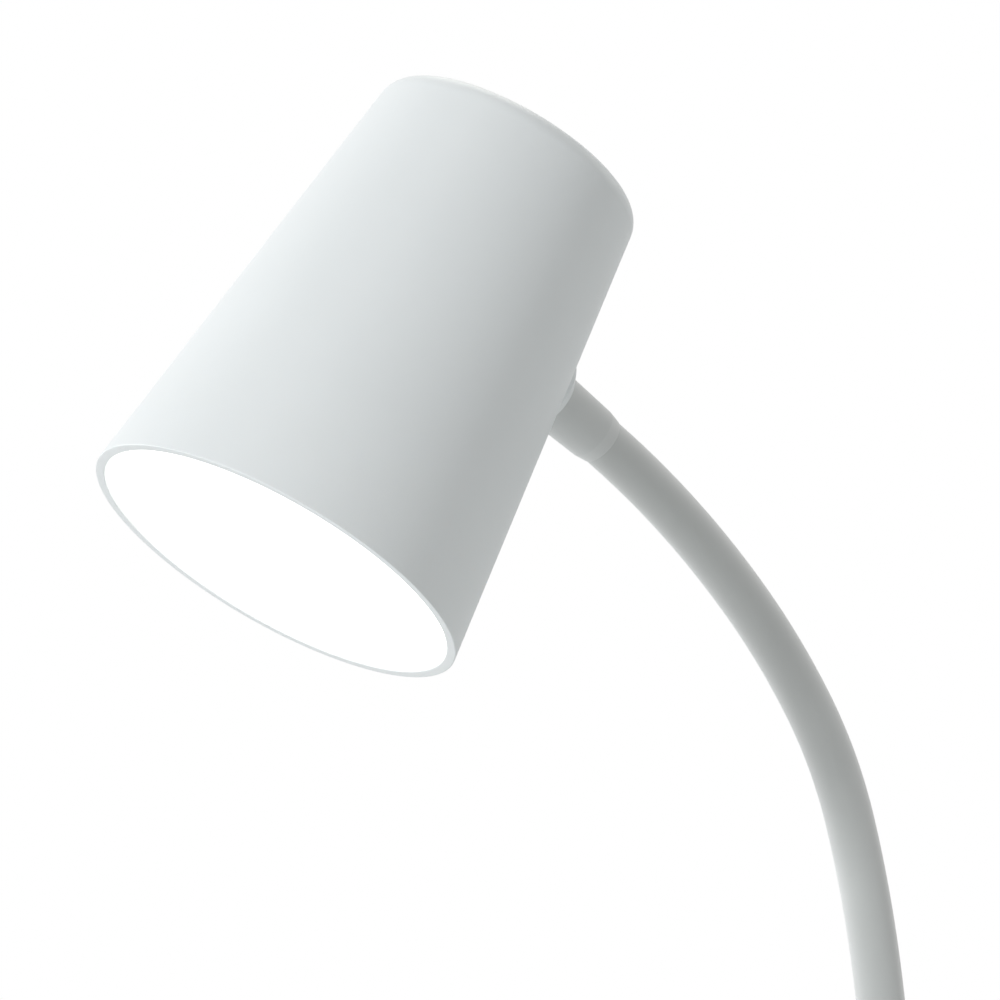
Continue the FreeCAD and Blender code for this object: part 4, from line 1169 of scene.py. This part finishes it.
@dataclass
class Studio:
    """Camera, floor, world and lamps, placed by the photograph's viewing angle.

    Attributes:
        aim: the point that the camera's place is measured from.
        azimuth: the camera's angle around the lamp.
        distance: from the camera to that point.
        right_shift: how far the camera stands to the right of it.
        up_shift: how far it stands above it.
        pixels_per_mm: the picture's scale at that point.
        frame_pixels: the picture's width.
        sensor: the camera's sensor, in millimetres.
        far_clip: how far the camera sees.
        floor_radius: the floor's radius.
        floor_edges: how many straight edges its round has.
        floor_colours: the two near colours that it varies between.
        floor_patches: how many of those patches fit in a metre.
        floor_roughness: its roughness.
        world_light: colour of the even light all round.
        world_strength: strength of that light.
        lamp_distance: from the lamps to the point that they look at.
        lamp_centre: that point.
    """

    aim: Vector
    azimuth: float = math.radians(34.05)
    distance: float = 3.0
    right_shift: float = 55.15 * MM
    up_shift: float = 15.22 * MM
    pixels_per_mm: float = 4.08
    frame_pixels: float = 1000.0
    sensor: float = 36.0
    far_clip: float = 50.0
    floor_radius: float = 3.2
    floor_edges: int = 128
    floor_colours: tuple[Colour, Colour] = ((0.86, 0.865, 0.87), (0.84, 0.845, 0.85))
    floor_patches: float = 2.0
    floor_roughness: float = 0.6
    world_light: Colour = (0.985, 0.99, 0.985)
    world_strength: float = 0.335
    lamp_distance: float = 1.85
    lamp_centre: Vector = field(default_factory=lambda: Vector((-0.1, 0, 0.25)))

    def __post_init__(self) -> None:
        """Work out the camera's own directions."""
        self.view = Vector((math.sin(self.azimuth), math.cos(self.azimuth), 0))
        self.right = Vector((math.cos(self.azimuth), -math.sin(self.azimuth), 0))

    def camera(self) -> None:
        """Place the camera level, at the photograph's distance and angle."""
        data = bpy.data.cameras.new("photo_camera")
        data.sensor_width = self.sensor
        data.sensor_fit = "HORIZONTAL"
        reach = self.pixels_per_mm / MM * self.distance
        data.lens = reach / self.frame_pixels * self.sensor
        data.clip_end = self.far_clip
        made = bpy.data.objects.new("photo_camera", data)
        spot = self.aim - self.view * self.distance
        spot += self.right * self.right_shift + Z_AXIS * self.up_shift
        made.location = spot
        made.rotation_euler = self.view.to_track_quat("-Z", "Y").to_euler()
        bpy.context.scene.collection.objects.link(made)
        bpy.context.scene.camera = made
        LOG.info("camera at %s, lens %.1f mm", tuple(round(v, 3) for v in spot), data.lens)

    def lamp(self, box: Softbox) -> None:
        """Add one lamp.

        Args:
            box: what it is like and where it stands.
        """
        data = bpy.data.lights.new(box.kind.value, "AREA")
        data.energy = box.power
        data.size = box.size
        data.color = box.colour
        made = bpy.data.objects.new(box.kind.value, data)
        across, up = math.radians(box.azimuth), math.radians(box.height)
        level = self.right * math.sin(across) - self.view * math.cos(across)
        offset = (level * math.cos(up) + Z_AXIS * math.sin(up)) * self.lamp_distance
        made.location = self.lamp_centre + offset
        made.rotation_euler = (-offset).to_track_quat("-Z", "Y").to_euler()
        bpy.context.scene.collection.objects.link(made)
        LOG.info("lamp %s, %.1f W", box.kind.value, box.power)

    def world(self) -> None:
        """A soft even light all round; the camera and reflections see plain white."""
        world = bpy.data.worlds.new("studio")
        world.use_nodes = True
        nodes = NodeMaker(world.node_tree)
        shown = world.node_tree.nodes["Background"]
        even = nodes.node("Background")
        for background, colour, strength in (
            (shown, (1.0, 1.0, 1.0), 1.0),
            (even, self.world_light, self.world_strength),
        ):
            nodes.feed(background.inputs["Color"], (*colour, 1))
            nodes.feed(background.inputs["Strength"], strength)
        path = nodes.node("LightPath")
        seen = path.outputs["Is Camera Ray"]
        for name in ("Is Glossy Ray", "Is Transmission Ray"):
            seen = nodes.math("MAXIMUM", seen, path.outputs[name])
        mix = nodes.node("MixShader")
        for target, value in zip(mix.inputs, (seen, even.outputs[0], shown.outputs[0])):
            nodes.feed(target, value)
        nodes.feed(world.node_tree.nodes["World Output"].inputs["Surface"], mix.outputs[0])
        bpy.context.scene.world = world

    def floor(self) -> None:
        """A plain pale floor under the lamp."""
        mesh = bmesh.new()
        bmesh.ops.create_circle(
            mesh, cap_ends=True, segments=self.floor_edges, radius=self.floor_radius
        )
        made = new_object("floor", mesh)
        material = bpy.data.materials.new("pale_floor")
        material.use_nodes = True
        nodes = NodeMaker(material.node_tree)
        shader = material.node_tree.nodes["Principled BSDF"]
        patches = nodes.noise(self.floor_patches, detail=2.0)
        nodes.feed(shader.inputs["Base Color"], nodes.mix(patches, *self.floor_colours))
        nodes.feed(shader.inputs["Roughness"], self.floor_roughness)
        made.data.materials.append(material)

    def build(self) -> None:
        """Set up the whole studio."""
        bpy.context.scene.view_settings.view_transform = "Standard"
        self.camera()
        self.world()
        self.floor()
        for box in SOFTBOXES:
            self.lamp(box)


def main() -> None:
    """Load the frame, dress its nodes and build the sleeve, the spring and the studio."""
    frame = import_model()
    logging.basicConfig(level=logging.INFO, format="%(message)s")
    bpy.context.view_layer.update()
    palette = Palette()
    for name, node in frame["nodes"].items():
        palette.dress_node(name, node)
    hinges = [joint for joint in frame["joints"] if joint["type"] == "hinge"]
    hinges.sort(key=lambda joint: int(joint["name"].rsplit("_", 1)[1]))
    joints = [Vector(joint["pos_m"]) for joint in hinges]
    bodies = [hinges[0]["parent"]] + [joint["child"] for joint in hinges]
    head = Head(joints[-1])
    sleeve = NeckSleeve(joints=joints, head_face=head.face)
    sleeve.build(palette, bodies)
    ReturnSpring().build(palette, frame["joints"])
    Studio(head.mouth).build()


if __name__ == "__main__":
    main()
